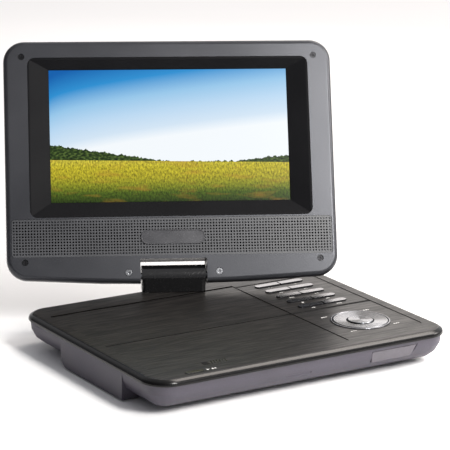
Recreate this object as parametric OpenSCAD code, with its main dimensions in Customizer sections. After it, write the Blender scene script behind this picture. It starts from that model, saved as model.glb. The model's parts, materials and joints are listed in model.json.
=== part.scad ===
/* [Base] */
// Width of the base across the rim
body_w = 212; // [190:1:250]
// Depth of the base from front rim to rear rim
body_d = 165; // [150:1:200]
// Corner radius of the base seen from above
body_r = 16; // [10:1:22]
// Height of the seam between the lower case and the top case
seam_z = 18.8; // [16:0.2:26]
// Height of the vertical part of the rim above the seam
rim_h = 2.0; // [1.4:0.1:3]
// Height of the sloped rim above its vertical part
bevel_h = 1.8; // [1:0.1:3]
// Width of the sloped rim
bevel_w = 3.2; // [2:0.1:5]
// Height of the rubber feet below the case floor
foot_h = 1.0; // [0.5:0.1:3]
// Wall thickness of the lower case floor
floor_t = 2.0; // [1.5:0.1:3]

/* [Disc drive] */
// Diameter of the disc the drive takes
disc_d = 120; // [120:1:120]
// Diameter of the disc's centre hole
disc_hole_d = 15; // [15:0.1:15]
// Radial room between the disc and the wall of its well
disc_room = 2.5; // [1.5:0.1:4]
// Distance of the spindle from the left rim
spindle_in = 76; // [73:0.5:80]
// Distance of the spindle in front of the middle
spindle_y = 4.5; // [3:0.5:9]
// Height of the well floor
deck_z = 15.2; // [14:0.1:16]
// Height of the disc's underside on the hub
disc_z = 17.0; // [16.5:0.1:17.5]
// Travel of the laser sled
sled_travel = 32; // [20:1:32]
// Radius of a sled guide rail
rail_r = 1.5; // [1:0.1:2]

/* [Disc lid] */
// Distance of the lid opening and the control plate from the side rims
side_in = 10; // [9:0.1:14]
// Width of the lid opening
lid_w = 132.6; // [130:0.2:136]
// Distance of the lid hinge axis in front of the rear rim
lid_axis_in = 23.2; // [21:0.1:28]
// Distance of the lid's front edge behind the front rim
lid_front_in = 12.8; // [11:0.1:16]
// Thickness of the lid
lid_t = 2.2; // [1.6:0.1:2.6]
// Radius of the lid's front corners
lid_r = 8; // [4:0.5:14]
// Depth of the cross groove in the lid and the control plate
groove_d = 0.5; // [0.2:0.1:0.8]

/* [Controls] */
// Length of one key
key_l = 17.4; // [12:0.1:19]
// Depth of one key
key_d = 4.8; // [3:0.1:8]
// Distance between key rows
key_pitch = 12.4; // [10:0.1:13]
// Travel of a key
key_travel = 0.6; // [0.3:0.1:0.7]
// Outer radius of the direction pad's frame
pad_r = 18.7; // [14:0.1:20]
// Radius of the centre button
ok_r = 8.0; // [5:0.1:9]

/* [Screen] */
// Height of the screen housing above the tilt axis
scr_top = 152.6; // [150:0.5:190]
// Depth of the screen housing's lower edge below the tilt axis
scr_bot = 5.6; // [4:0.1:6.4]
// Rise of the lower edge from the middle to the corners
scr_bow = 3.3; // [0:0.1:4]
// Thickness of the screen housing
scr_t = 16; // [15:0.5:17]
// Depth of the front half of the housing
front_t = 6; // [5:0.5:7]
// Corner radius of the screen housing
scr_r = 13.5; // [11:0.5:20]
// Width of the display's picture area
lcd_w = 154.08; // [140:0.02:160]
// Height of the display's picture area
lcd_h = 86.58; // [80:0.02:92]
// Distance of the picture's middle below the housing's top edge
lcd_in = 61.6; // [56:0.1:66]

/* [Hinge] */
// Width of the hinge block
block_w = 40.8; // [34:0.2:46]
// Radius of the hinge block's rounded top
block_r = 6.9; // [5:0.1:7.2]
// Distance of the swivel axis in front of the rear rim
swivel_in = 8.8; // [8.4:0.1:12]
// Height of the tilt axis above the base top
axis_h = 9.0; // [8.8:0.1:12]
// Radius of a tilt shaft
shaft_r = 2.2; // [1.6:0.1:2.6]
// Radius of the swivel shaft
swivel_r = 4.0; // [3:0.1:4.4]
// Turn of the screen clockwise from straight ahead
swivel_deg = 26; // [0:1:90]
// Lean of the screen back from upright
tilt_deg = 24; // [-20:1:60]

/* [Hidden] */
// Gap between pieces of different bodies
gap = 0.3;
// Radial clearance of a shaft in its bearing
run = 0.06;
// Thin overlap that lets a cut pass a face
eps = 0.02;

// Levels of the base
rim_z = seam_z + rim_h;
top_z = rim_z + bevel_h;
skin_z = top_z - gap;
case_top = seam_z - 0.2;

// Insets of the lower case's outside, from the seam down to the floor
wall_in = 1.2;
tub = [
  [case_top, wall_in],
  [foot_h + 12, 1.8],
  [foot_h + 7, 4.5],
  [foot_h + 3.5, 9],
  [foot_h + 1, 15],
  [foot_h, 19]
];
floor_z = foot_h + floor_t;
cav_hi_z = foot_h + 11.5;
cav_mid_z = foot_h + 4.3;
cav_hi_in = 3.4;
cav_mid_in = 9.4;
cav_lo_in = 16;
// The straight-walled stretch at each side of the lower case
bulge_front = -body_d / 2 + 39.5;
bulge_rear = body_d / 2 - 51.5;

// Disc drive
spindle_x = body_w / 2 - spindle_in;
spin = [-spindle_x, -spindle_y];
well_r = disc_d / 2 + disc_room;
hub_r = disc_hole_d / 2 - 0.1;
platter_r = 14;
chassis_z = cav_mid_z + 0.2;
chassis_t = 1.0;
motor_r = 13;
motor_z0 = chassis_z + chassis_t;
motor_z1 = motor_z0 + 4.2;
rotor_z1 = deck_z - 1.9;
rail_z = chassis_z + chassis_t + 3.1;
rail_dx = 14;
rail_y0 = -body_d / 2 + 9.7;
rail_y1 = -spindle_y - motor_r - 0.6;
sled_len = 14;
post_t = 1.6;
sled_y1 = rail_y1 - post_t - gap;
sled_y0 = sled_y1 - sled_len;
lens_y = sled_y0 + sled_len / 2;
screw_x = -spindle_x + rail_dx + 6.2;

// Disc lid, its hinge axis at the rear edge
lid_x0 = -body_w / 2 + side_in;
lid_x1 = lid_x0 + lid_w;
lid_y = body_d / 2 - lid_axis_in;
lid_y0 = -body_d / 2 + lid_front_in;
lid_rod = 1.5;
lid_axis_z = skin_z - lid_rod;
pin_r = 0.8;
pin_l = 2.2;
ledge_z = skin_z - lid_t - gap;
latch_x = lid_x0 + 26;
latch_w = 6;

// Controls
plate_x0 = lid_x1;
plate_x1 = body_w / 2 - side_in;
plate_y0 = -body_d / 2 + 16.5;
plate_y1 = lid_y - 2;
plate_t = 1.0;
plate_z = skin_z - plate_t;
key_cx = (plate_x0 + plate_x1) / 2 - 0.05;
key_gap = 1.0;
key_y1 = lid_y - 8.1;
key_top = top_z + 0.4;
flange_t = 0.8;
flange_w = 0.9;
key_z0 = seam_z - 0.3 - flange_t;
dome_top = key_z0 - key_travel - gap;
pad_c = [key_cx, key_y1 - 4 * key_pitch - 41.4];
groove_y = -8;

// Screen, in its own frame: X across, -Y out of the display, Z up
scr_w = body_w;
lcd_z = scr_top - lcd_in;
axis_y = body_d / 2 - swivel_in;
axis_z = top_z + axis_h;
half_t = scr_t / 2;
seam_y = -half_t + front_t;
open_w = lcd_w + 27.5;
open_z0 = lcd_z - lcd_h / 2 - 10.3;
open_z1 = lcd_z + lcd_h / 2 + 7.4;
lcd_y = -half_t + 5;
notch_w = block_w + 1.8;
notch_z = block_r + 3.3;
grille_w = scr_w - 6.4;
grille_z0 = notch_z + 1.9;
grille_z1 = open_z0 - 0.9;
edge_f = 3;
edge_b = 10;

// Jack places along the right side of the lower case
side_x = body_w / 2 - wall_in;
jack_z = foot_h + 9;
dc_y = 22;
sw_y = 11;
vol_y = -2.6;
av_y = -14;
hp_y = -22;
usb_y = -33.6;
wheel_r = 7;
wheel_x = body_w / 2 - 0.3 - wheel_r;

module rrect(w, d, r) {
  // Rounded rectangle made of true arcs
  square([w - 2 * r, d], center = true);
  square([w, d - 2 * r], center = true);
  for (sx = [-1, 1], sy = [-1, 1])
    translate([sx * (w / 2 - r), sy * (d / 2 - r)])
      circle(r, $fn = 64);
}

module box(x0, x1, y0, y1, z0, z1) {
  translate([x0, y0, z0])
    cube([x1 - x0, y1 - y0, z1 - z0]);
}

module slice(inset, z, h = 0.01) {
  // One level of the base's outline, for hull()
  r = max(body_r - inset, 3);
  for (sx = [-1, 1], sy = [-1, 1])
    translate([sx * (body_w / 2 - inset - r), sy * (body_d / 2 - inset - r), z])
      cylinder(r = r, h = h, $fn = 48);
}

module base_cavity(inset, z0, z1) {
  translate([0, 0, z0])
    linear_extrude(z1 - z0)
      rrect(body_w - 2 * inset, body_d - 2 * inset, max(body_r - inset, 4));
}

module pill(l, d, z0, z1) {
  translate([0, 0, z0])
    linear_extrude(z1 - z0)
      rrect(l, d, d / 2 - 0.01);
}

module x_rod(r, x0, x1) {
  // Round bar along X
  translate([x0, 0, 0])
    rotate([0, 90, 0])
      cylinder(r = r, h = x1 - x0, $fn = 48);
}

module y_rod(r, y0, y1) {
  // Round bar along Y
  translate([0, y0, 0])
    rotate([-90, 0, 0])
      cylinder(r = r, h = y1 - y0, $fn = 48);
}

module y_plate(y0, y1) {
  // Extrudes an X-Z outline from y0 to y1
  translate([0, y1, 0])
    rotate([90, 0, 0])
      linear_extrude(y1 - y0)
        children();
}

module at_screen() {
  translate([0, axis_y, axis_z])
    rotate([0, 0, -swivel_deg])
      rotate([-tilt_deg, 0, 0])
        children();
}

module at_swivel() {
  translate([0, axis_y, 0])
    rotate([0, 0, -swivel_deg])
      children();
}

module at_key(i, side) {
  translate([key_cx + side * (key_l + key_gap) / 2, key_y1 - i * key_pitch, 0])
    children();
}

// ---------------------------------------------------------------- lower case

foot_at = [
  for (sx = [-1, 1], sy = [-1, 1])
    [sx * (body_w / 2 - 28), sy * (body_d / 2 - 30.5)],
  // The middle pad is flat underneath
  [0, 0]
];
screw_y0 = -body_d / 2 + 16.5;
screw_y1 = body_d / 2 - 15.1;
screw_at = [
  [-body_w / 2 + 28, screw_y0], [body_w / 2 - 34, screw_y0],
  [-spindle_x + 34, screw_y0], [-body_w / 2 + 28, screw_y1],
  [body_w / 2 - 28, screw_y1], [-spindle_x - 14, screw_y1]
];
ir_x = body_w / 2 - 43;

// Outline of the receiver window: its right end slants
module ir_shape(gap, y0, y1) {
  translate([ir_x, y1, foot_h])
    rotate([90, 0, 0])
      linear_extrude(height = y1 - y0)
        polygon([[-17 + gap, 8.4 + gap], [12.4 - gap, 8.4 + gap],
                 [17 - gap * 1.5, 15.6 - gap], [-17 + gap, 15.6 - gap]]);
}
screw_r = 1.2;
boss_r = 3.2;

module side_profile() {
  // Straight-walled stretch of the lower case seen from the side
  r = 7;
  translate([bulge_front, foot_h])
    square([bulge_rear - bulge_front - r, case_top - foot_h]);
  translate([bulge_front, foot_h + r])
    square([bulge_rear - bulge_front, case_top - foot_h - r]);
  translate([bulge_rear - r, foot_h + r])
    circle(r, $fn = 48);
}

module side_bar(x0, x1) {
  translate([x0, 0, 0])
    rotate([90, 0, 90])
      linear_extrude(x1 - x0)
        side_profile();
}

module bottom_case() {
  color("#605c66")
    difference() {
      union() {
        hull()
          for (s = tub)
            slice(s[1], s[0] - 0.01);
        side_bar(-side_x, side_x);
      }
      difference() {
        union() {
          base_cavity(cav_hi_in, cav_hi_z, seam_z + 1);
          base_cavity(cav_mid_in, cav_mid_z, seam_z);
          base_cavity(cav_lo_in, floor_z, seam_z);
          box(-body_w / 2 + cav_hi_in, body_w / 2 - cav_hi_in,
              bulge_front + 2, bulge_rear - 8, floor_z, seam_z);
          box(-body_w / 2 + cav_hi_in, body_w / 2 - cav_hi_in,
              bulge_rear - 8, bulge_rear - 2.4, floor_z + 1.6, seam_z);
        }
        for (p = screw_at)
          translate([p[0], p[1], 0])
            cylinder(r = boss_r, h = case_top, $fn = 32);
      }
      for (p = screw_at)
        translate([p[0], p[1], -1]) {
          cylinder(r = screw_r + 0.05, h = seam_z + 2, $fn = 32);
          cylinder(r = 2.6, h = foot_h + 4.2, $fn = 32);
        }
      for (p = foot_at)
        translate([p[0], p[1], 0])
          cylinder(r = 6, h = foot_h + 0.6, $fn = 48);
      // Openings in the right side wall
      for (y = [av_y, hp_y])
        translate([0, y, jack_z])
          x_rod(3.6, side_x - 4, side_x + 2);
      translate([0, dc_y, jack_z])
        x_rod(4.4, side_x - 4, side_x + 2);
      box(side_x - 4, side_x + 2, sw_y - 4.2, sw_y + 4.2, jack_z - 1.6, jack_z + 1.6);
      box(side_x - 4, side_x + 2, vol_y - 6.4, vol_y + 6.4, jack_z - 1.8, jack_z + 1.8);
      box(side_x - 4, side_x + 2, usb_y - 6.8, usb_y + 6.8, jack_z - 3.3, jack_z + 3.3);
      // Window for the remote receiver in the front wall
      ir_shape(0, -body_d / 2 - 1, -body_d / 2 + 5);
      // Shallow grip recess under the front edge
      translate([-6, -body_d / 2 + 2, foot_h + 9])
        x_rod(1.6, -9, 9);
    }
}

module rubber_feet() {
  color("#262428")
    for (p = foot_at)
      translate([p[0], p[1], 0])
        difference() {
          cylinder(r = 5.8, h = foot_h + 0.6, $fn = 48);
          if (p[0] != 0)
            translate([0, 0, -0.1])
              cylinder(r = 3.6, h = 0.5, $fn = 48);
        }
}

module case_screws() {
  color("#8a8c90")
    for (p = screw_at)
      translate([p[0], p[1], foot_h + 2.2])
        difference() {
          union() {
            cylinder(r = 2.3, h = 1, $fn = 32);
            cylinder(r = screw_r, h = 11, $fn = 32);
          }
          for (a = [0, 90])
            rotate([0, 0, a])
              translate([-1.4, -0.25, -0.1])
                cube([2.8, 0.5, 0.8]);
        }
}

// ---------------------------------------------------------------- top case

module lid_outline(grow) {
  // Lid seen from above: square at the hinge, rounded at the front
  x0 = lid_x0 + gap - grow;
  x1 = lid_x1 - gap + grow;
  y0 = lid_y0 + gap - grow;
  r = lid_r + grow;
  translate([x0, y0 + r])
    square([x1 - x0, lid_y - y0 - r]);
  translate([x0 + r, y0])
    square([x1 - x0 - r - 2 - grow, r + 1]);
  translate([x1 - 3 - grow, y0])
    square([3 + grow, r + 1]);
  translate([x0 + r, y0 + r])
    circle(r, $fn = 64);
}

module plate_outline(grow) {
  r = 5;
  x0 = plate_x0 + gap - grow;
  x1 = plate_x1 + grow;
  y0 = plate_y0 - grow;
  y1 = plate_y1 + grow;
  translate([x0, y0])
    square([x1 - x0 - r, y1 - y0]);
  translate([x0, y0 + r])
    square([x1 - x0, y1 - y0 - 2 * r]);
  for (y = [y0 + r, y1 - r])
    translate([x1 - r, y])
      circle(r, $fn = 48);
}

module key_holes(z0, z1) {
  for (i = [0:4])
    translate([key_cx, key_y1 - i * key_pitch, 0])
      pill(2 * key_l + key_gap + 2 * gap, key_d + 2 * gap, z0, z1);
  translate([pad_c[0], pad_c[1], z0])
    cylinder(r = pad_r + 0.05, h = z1 - z0, $fn = 96);
}

module top_case() {
  color("#4a4746")
    difference() {
      union() {
        hull() {
          slice(0, seam_z, rim_h);
          slice(bevel_w, top_z - 0.1, 0.1);
        }
        // Wall of the disc well
        translate([spin[0], spin[1], deck_z])
          cylinder(r = well_r + 2, h = seam_z - deck_z + eps, $fn = 128);
        // Bar that carries the lid hinge
        box(lid_x0 - 3, lid_x1 + 2, lid_y - 3, lid_y + 4, seam_z - 2, seam_z + eps);
      }
      translate([spin[0], spin[1], deck_z - 1])
        cylinder(r = well_r, h = 10, $fn = 128);
      translate([0, 0, ledge_z])
        linear_extrude(5)
          lid_outline(gap);
      // Round-bottomed channel for the lid's rear edge
      translate([lid_x0, lid_y, lid_axis_z])
        rotate([90, 0, 90])
          linear_extrude(lid_w) {
            circle(lid_rod + gap, $fn = 48);
            translate([-lid_rod - gap, 0])
              square([2 * (lid_rod + gap), 4]);
          }
      translate([0, lid_y, lid_axis_z])
        x_rod(pin_r + run, lid_x0 - pin_l - gap, lid_x1 + pin_l + gap);
      translate([0, 0, plate_z])
        linear_extrude(5)
          plate_outline(0.05);
      key_holes(seam_z - 1, top_z);
      // Slots for the latch hook and the open button
      box(latch_x - latch_w / 2 - 0.5, latch_x + latch_w / 2 + 0.5,
          lid_y0 + 0.4, lid_y0 + 4.8, seam_z - 1, top_z);
      translate([latch_x - 5, lid_y0 - 4.8, 0])
        pill(12 + 2 * gap, 3.6 + 2 * gap, seam_z - 1, top_z + 1);
      // Passage of the swivel shaft
      translate([0, axis_y, seam_z - 1])
        cylinder(r = swivel_r + 0.5, h = 8, $fn = 64);
      for (sx = [-1, 1])
        translate([sx * 24, axis_y - 4, seam_z - eps])
          cylinder(r = 1.3, h = 2.4, $fn = 32);
    }
}

module control_plate() {
  color("#6f6a66")
    difference() {
      translate([0, 0, plate_z])
        linear_extrude(plate_t)
          plate_outline(0);
      key_holes(plate_z - 1, top_z + 1);
      box(plate_x0 - 1, plate_x1 + 1, groove_y - 0.6, groove_y + 0.6, skin_z - groove_d, top_z);
    }
}

module dpad_frame() {
  color("#c8cacd")
    translate([pad_c[0], pad_c[1], 0])
      rotate_extrude($fn = 128)
        polygon([
          [pad_r - 2.6, seam_z + 0.4], [pad_r, seam_z + 0.4], [pad_r, skin_z + 0.35],
          [pad_r - 0.3, skin_z + 0.5], [pad_r - 0.9, skin_z + 0.5], [pad_r - 1.2, skin_z + 0.2],
          [pad_r - 1.2, seam_z + 1.4], [pad_r - 2.6, seam_z + 1.4]
        ]);
}

// ---------------------------------------------------------------- disc lid

module disc_lid() {
  color("#3c3a39")
    difference() {
      union() {
        translate([0, 0, skin_z - lid_t])
          linear_extrude(lid_t)
            lid_outline(0);
        translate([0, lid_y, lid_axis_z]) {
          x_rod(lid_rod, lid_x0 + gap, lid_x1 - gap);
          x_rod(pin_r, lid_x0 - pin_l, lid_x1 + pin_l);
        }
        // Low ring that keeps the disc from lifting off the hub
        translate([spin[0], spin[1], skin_z - lid_t - 0.8])
          difference() {
            cylinder(r = 21, h = 1, $fn = 96);
            translate([0, 0, -1])
              cylinder(r = 19.4, h = 3, $fn = 96);
          }
      }
      box(lid_x0, lid_x1, groove_y - 0.6, groove_y + 0.6, skin_z - groove_d, top_z);
      // Grip ribs near the front edge
      for (k = [0:4])
        box(latch_x + 7 + 0.9 * k, latch_x + 7.5 + 0.9 * k, lid_y0 + 3, lid_y0 + 8,
            skin_z - 0.3, top_z);
    }
}

module lid_latch() {
  color("#2b2a2c")
    translate([latch_x, lid_y0 + 2.6, 0]) {
      translate([-latch_w / 2, -1, seam_z - 4])
        cube([latch_w, 2, skin_z - lid_t - seam_z + 4]);
      translate([-latch_w / 2, -1.8, seam_z - 4])
        cube([latch_w, 1, 1.2]);
    }
}

module open_button() {
  color("#8d8f93")
    translate([latch_x - 5, lid_y0 - 4.8, 0]) {
      pill(12, 3.6, seam_z - 0.3, top_z + 0.3);
      pill(13.6, 5.2, seam_z - 1.1, seam_z - 0.3 + eps);
      box(-1.2, 1.2, -1.2, 1.2, seam_z - 3, seam_z - 1);
    }
}

// ---------------------------------------------------------------- disc drive

module deck_plate() {
  color("#2f2e31")
    translate([spin[0], spin[1], 0])
      difference() {
        translate([0, 0, deck_z - 1.6])
          cylinder(r = well_r + 2, h = 1.6, $fn = 128);
        translate([0, 0, deck_z - 3])
          cylinder(r = platter_r + 1, h = 6, $fn = 64);
        box(-9, 9, -well_r + 1.5, 0, deck_z - 3, deck_z + 3);
        // Shallow step for the small disc size
        translate([0, 0, deck_z - 0.4])
          difference() {
            cylinder(r = 41, h = 1, $fn = 96);
            translate([0, 0, -1])
              cylinder(r = 24, h = 3, $fn = 96);
          }
      }
}

module mech_chassis() {
  color("#a9acb0")
    difference() {
      union() {
        box(-spindle_x - 25, -spindle_x + 29, rail_y0, 13, chassis_z, chassis_z + chassis_t);
        for (sx = [-1, 1], y = [rail_y1 - post_t, rail_y0 + 0.2])
          box(-spindle_x + sx * rail_dx - 2.6, -spindle_x + sx * rail_dx + 2.6, y, y + post_t,
              chassis_z, rail_z + 3);
      }
      for (sx = [-1, 1])
        translate([-spindle_x + sx * rail_dx, 0, rail_z])
          y_rod(rail_r, -90, 0);
      for (p = damper_at)
        translate([p[0], p[1], 0])
          cylinder(r = 2.2, h = 20, $fn = 48);
    }
}

damper_at = [
  [-spindle_x - 21, -40], [-spindle_x + 23, -40], [-spindle_x - 21, 9], [-spindle_x + 23, 9]
];

module dampers() {
  color("#3a3a3d")
    for (p = damper_at)
      translate([p[0], p[1], 0])
        rotate_extrude($fn = 48)
          polygon([
            [0.9, floor_z], [3.4, floor_z], [3.4, chassis_z],
            [2.2, chassis_z], [2.2, chassis_z + chassis_t],
            [3.4, chassis_z + chassis_t], [3.4, chassis_z + chassis_t + 1],
            [0.9, chassis_z + chassis_t + 1]
          ]);
}

module spindle_motor() {
  color("#8e9196")
    translate([spin[0], spin[1], 0])
      difference() {
        union() {
          translate([0, 0, motor_z0])
            cylinder(r = motor_r, h = 1.2, $fn = 64);
          translate([0, 0, motor_z0])
            cylinder(r = 4, h = motor_z1 - motor_z0, $fn = 48);
          for (k = [0:8])
            rotate([0, 0, 40 * k])
              box(3, 9, -1, 1, motor_z0 + 1.6, motor_z1);
        }
        translate([0, 0, motor_z0 - 1])
          cylinder(r = 1.5 + run, h = 12, $fn = 48);
      }
}

module rotor() {
  color("#b9bcc1")
    translate([spin[0], spin[1], 0]) {
      translate([0, 0, motor_z1 + gap])
        cylinder(r = motor_r - 0.6, h = rotor_z1 - motor_z1 - gap, $fn = 64);
      translate([0, 0, motor_z0 + 1.6])
        difference() {
          cylinder(r = motor_r - 0.6, h = motor_z1 + gap - motor_z0 - 1.6 + eps, $fn = 64);
          translate([0, 0, -1])
            cylinder(r = 9.6, h = 10, $fn = 64);
        }
      translate([0, 0, motor_z0 + 0.2])
        cylinder(r = 1.5, h = disc_z + 1.4 - motor_z0 - 0.2, $fn = 48);
    }
}

module disc_hub() {
  color("#1f1f22")
    translate([spin[0], spin[1], 0])
      difference() {
        union() {
          translate([0, 0, rotor_z1])
            cylinder(r = platter_r, h = disc_z - rotor_z1, $fn = 96);
          translate([0, 0, disc_z])
            cylinder(r = hub_r, h = 1.5, $fn = 96);
          translate([0, 0, disc_z + 1.5])
            cylinder(r1 = hub_r, r2 = hub_r - 1.2, h = 0.8, $fn = 96);
        }
        translate([0, 0, motor_z0])
          cylinder(r = 1.5, h = disc_z + 1.4 - motor_z0, $fn = 48);
        // Seats of the three sprung catches
        for (k = [0:2])
          rotate([0, 0, 120 * k])
            box(3.2, 5.2, -1, 1, disc_z + 1, disc_z + 4);
      }
}

module sled_rails() {
  color("#d3d6da")
    for (sx = [-1, 1])
      translate([-spindle_x + sx * rail_dx, 0, rail_z])
        y_rod(rail_r, rail_y0, rail_y1);
}

module pickup_sled() {
  color("#6b6d72")
    difference() {
      union() {
        box(-spindle_x - rail_dx - 3, -spindle_x + rail_dx + 3, sled_y0 + 3, sled_y1 - 3,
            rail_z - 2.6, rail_z + 3.2);
        box(-spindle_x - rail_dx - 3, -spindle_x - rail_dx + 3, sled_y0, sled_y1,
            rail_z - 2.4, rail_z + 2.4);
        box(-spindle_x - 7, -spindle_x + 7, sled_y0 + 2, sled_y1 - 2,
            rail_z, deck_z - 0.6);
      }
      for (sx = [-1, 1])
        translate([-spindle_x + sx * rail_dx, 0, rail_z])
          y_rod(rail_r + run, -90, 10);
      translate([-spindle_x, lens_y, deck_z - 3])
        cylinder(r = 3.2, h = 6, $fn = 48);
    }
}

module pickup_lens() {
  color("#9ab4d8")
    translate([-spindle_x, lens_y, 0])
      union() {
        translate([0, 0, deck_z - 3])
          cylinder(r = 3.2, h = 3, $fn = 48);
        translate([0, 0, deck_z - 2.6])
          intersection() {
            sphere(r = 3.4, $fn = 48);
            cylinder(r = 2.6, h = 4, $fn = 48);
          }
      }
}

module lead_screw() {
  color("#c9ccd0")
    translate([screw_x, 0, rail_z]) {
      y_rod(1.3, rail_y0 + 7.6, rail_y1 - 4);
      for (k = [0:8])
        y_ring(rail_y0 + 9 + 4.2 * k);
    }
}

module y_ring(y) {
  // One raised turn of the thread
  y_rod(1.7, y, y + 0.9);
}

module sled_motor() {
  color("#7d8085")
    translate([screw_x, 0, rail_z])
      difference() {
        union() {
          y_rod(3, rail_y1 - 7, rail_y1 + 4);
          box(-3, 3, rail_y1 - 2, rail_y1 + 3, chassis_z + chassis_t - rail_z, 0);
        }
        y_rod(1.3 + run, rail_y1 - 8, rail_y1 - 3.8);
      }
}

// ---------------------------------------------------------------- electronics

module main_board() {
  color("#1f6b46")
    difference() {
      union() {
        box(-body_w / 2 + 16, body_w / 2 - 18, 18, body_d / 2 - 18.5,
            floor_z + 4.6, floor_z + 6.2);
        box(-spindle_x - 40, -spindle_x - 20, 26, 46, floor_z + 6.2, floor_z + 7.8);
        box(-spindle_x, -spindle_x + 14, 28, 40, floor_z + 6.2, floor_z + 7.4);
        box(body_w / 2 - 86, body_w / 2 - 68, 24, 42, floor_z + 6.2, floor_z + 7.8);
        for (k = [0:3])
          translate([body_w / 2 - 56 + 9 * k, 50, floor_z + 6.2])
            cylinder(r = 3, h = 5, $fn = 32);
      }
      for (p = screw_at)
        translate([p[0], p[1], 0])
          cylinder(r = boss_r + 0.3, h = 30, $fn = 32);
    }
}

module battery_pack() {
  color("#3b4a63")
    union()
      for (k = [0:3])
        box(body_w / 2 - 96 + 20 * k, body_w / 2 - 76.4 + 20 * k, -body_d / 2 + 24.5, 10,
            floor_z + 0.2, floor_z + 8.2);
}

module key_board() {
  color("#1f6b46")
    difference() {
      box(key_cx - 22, key_cx + 22, pad_c[1] - 14, key_y1 + 6,
          dome_top - 2.0, dome_top - 0.8);
      for (i = [0:3])
        at_key(i, 0)
          translate([0, -key_pitch / 2, dome_top - 4])
            cylinder(r = 1.6, h = 8, $fn = 32);
    }
}

module dome_switches() {
  color("#d8dade") {
    for (i = [0:4], side = [-1, 1])
      at_key(i, side)
        translate([0, 0, dome_top - 0.8])
          cylinder(r = 2.6, h = 0.8, $fn = 32);
    for (a = [0:90:270])
      translate([pad_c[0] + 12.4 * cos(a), pad_c[1] + 12.4 * sin(a), dome_top - 0.8])
        cylinder(r = 2.4, h = 0.8, $fn = 32);
    translate([pad_c[0], pad_c[1], dome_top - 0.8])
      cylinder(r = 2.6, h = 0.8, $fn = 32);
  }
}

module key_outline(l, d, side) {
  // Round at the outer end of the row, square where the two keys meet
  r = d / 2 - 0.01;
  translate([side > 0 ? -l / 2 : -l / 2 + r, -d / 2])
    square([l - r, d]);
  translate([side * (l / 2 - r), 0]) {
    circle(r, $fn = 48);
    square([2 * r, 0.02], center = true);
  }
}

module key(i, side) {
  color("#c4c6ca")
    at_key(i, side) {
      translate([0, 0, key_z0])
        linear_extrude(key_top - key_z0)
          key_outline(key_l, key_d, side);
      // Flange that stops under the top case
      translate([side * flange_w / 2, 0, key_z0])
        linear_extrude(flange_t)
          key_outline(key_l + flange_w, key_d + 2 * flange_w, side);
    }
}

module dpad_ring() {
  color("#c4c6ca")
    translate([pad_c[0], pad_c[1], 0])
      rotate_extrude($fn = 128)
        polygon([
          [ok_r + 0.6, key_z0 + 0.2], [pad_r - 1.2, key_z0 + 0.2],
          [pad_r - 1.2, seam_z + 0.1], [pad_r - 3.2, seam_z + 0.1],
          [pad_r - 3.2, seam_z + 2.1], [pad_r - 1.5, seam_z + 2.1],
          [pad_r - 1.5, top_z + 0.1], [pad_r - 2.0, top_z + 0.3],
          [ok_r + 2.4, top_z - 0.1], [ok_r + 0.6, top_z - 0.2]
        ]);
}

module ok_button() {
  color("#d0d2d6")
    translate([pad_c[0], pad_c[1], 0])
      difference() {
        union() {
          translate([0, 0, key_z0 + 0.2])
            cylinder(r = ok_r, h = top_z + 0.1 - key_z0 - 0.2, $fn = 96);
          translate([0, 0, top_z + 0.1])
            cylinder(r1 = ok_r, r2 = ok_r - 0.4, h = 0.3, $fn = 96);
        }
        // Dished top
        translate([0, 0, top_z + 60.1])
          sphere(r = 60, $fn = 128);
      }
}

module power_switch() {
  color("#2a2a2d")
    translate([0, sw_y - 1.5, jack_z]) {
      box(side_x - 2.6, body_w / 2 - 0.2, -2.2, 2.2, -1.3, 1.3);
      box(side_x - 4.4, side_x - 2.6, -4.4, 4.4, -2.6, 2.6);
    }
}

module volume_wheel() {
  color("#2a2a2d")
    translate([wheel_x, vol_y, jack_z])
      difference() {
        translate([0, 0, -1.3])
          cylinder(r = wheel_r, h = 2.6, $fn = 96);
        translate([0, 0, -2])
          cylinder(r = 1.2, h = 4, $fn = 32);
        for (k = [0:35])
          rotate([0, 0, 10 * k])
            translate([wheel_r + 0.15, 0, -2])
              cylinder(r = 0.4, h = 4, $fn = 16);
      }
}

module dc_jack() {
  color("#1d1d1f")
    translate([0, dc_y, jack_z]) {
      difference() {
        union() {
          box(side_x - 16, side_x - 2.4, -4.4, 4.4, -5, 5);
          x_rod(4.2, side_x - 3, side_x - 0.2);
        }
        x_rod(2.75, side_x - 11, side_x + 1);
      }
      x_rod(0.65, side_x - 12, side_x - 3);
    }
}

module round_jack(y, shade) {
  color(shade)
    translate([0, y, jack_z])
      difference() {
        union() {
          box(side_x - 15, side_x - 2.4, -3.4, 3.4, -3.6, 3.6);
          x_rod(3.3, side_x - 3, side_x - 0.2);
        }
        x_rod(1.8, side_x - 13, side_x + 1);
      }
}

module usb_port() {
  color("#b8bbc0")
    translate([0, usb_y, jack_z]) {
      difference() {
        box(side_x - 14, side_x - 0.6, -6.6, 6.6, -3.1, 3.1);
        box(side_x - 13.5, side_x + 1, -6.15, 6.15, -2.55, 2.55);
      }
      box(side_x - 13.6, side_x - 3, -5.4, 5.4, 0.2, 2.0);
    }
}

module ir_window() {
  color("#29262e")
    ir_shape(0.1, -body_d / 2 + 2.6, -body_d / 2 + 4.6);
}

// ---------------------------------------------------------------- hinge

module hinge_plate() {
  color("#a3a6ab")
    difference() {
      union() {
        box(-30, 30, axis_y - 9, axis_y + 5.2, seam_z - 3.2, seam_z - 1.4);
        for (sx = [-1, 1])
          translate([sx * 24, axis_y - 4, seam_z - 1.5])
            cylinder(r = 3, h = 1.5, $fn = 32);
      }
      translate([0, axis_y, 0])
        cylinder(r = swivel_r + run, h = 40, $fn = 64);
      for (sx = [-1, 1])
        translate([sx * 24, axis_y - 4, 0])
          cylinder(r = 1.3, h = 40, $fn = 32);
    }
}

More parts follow.
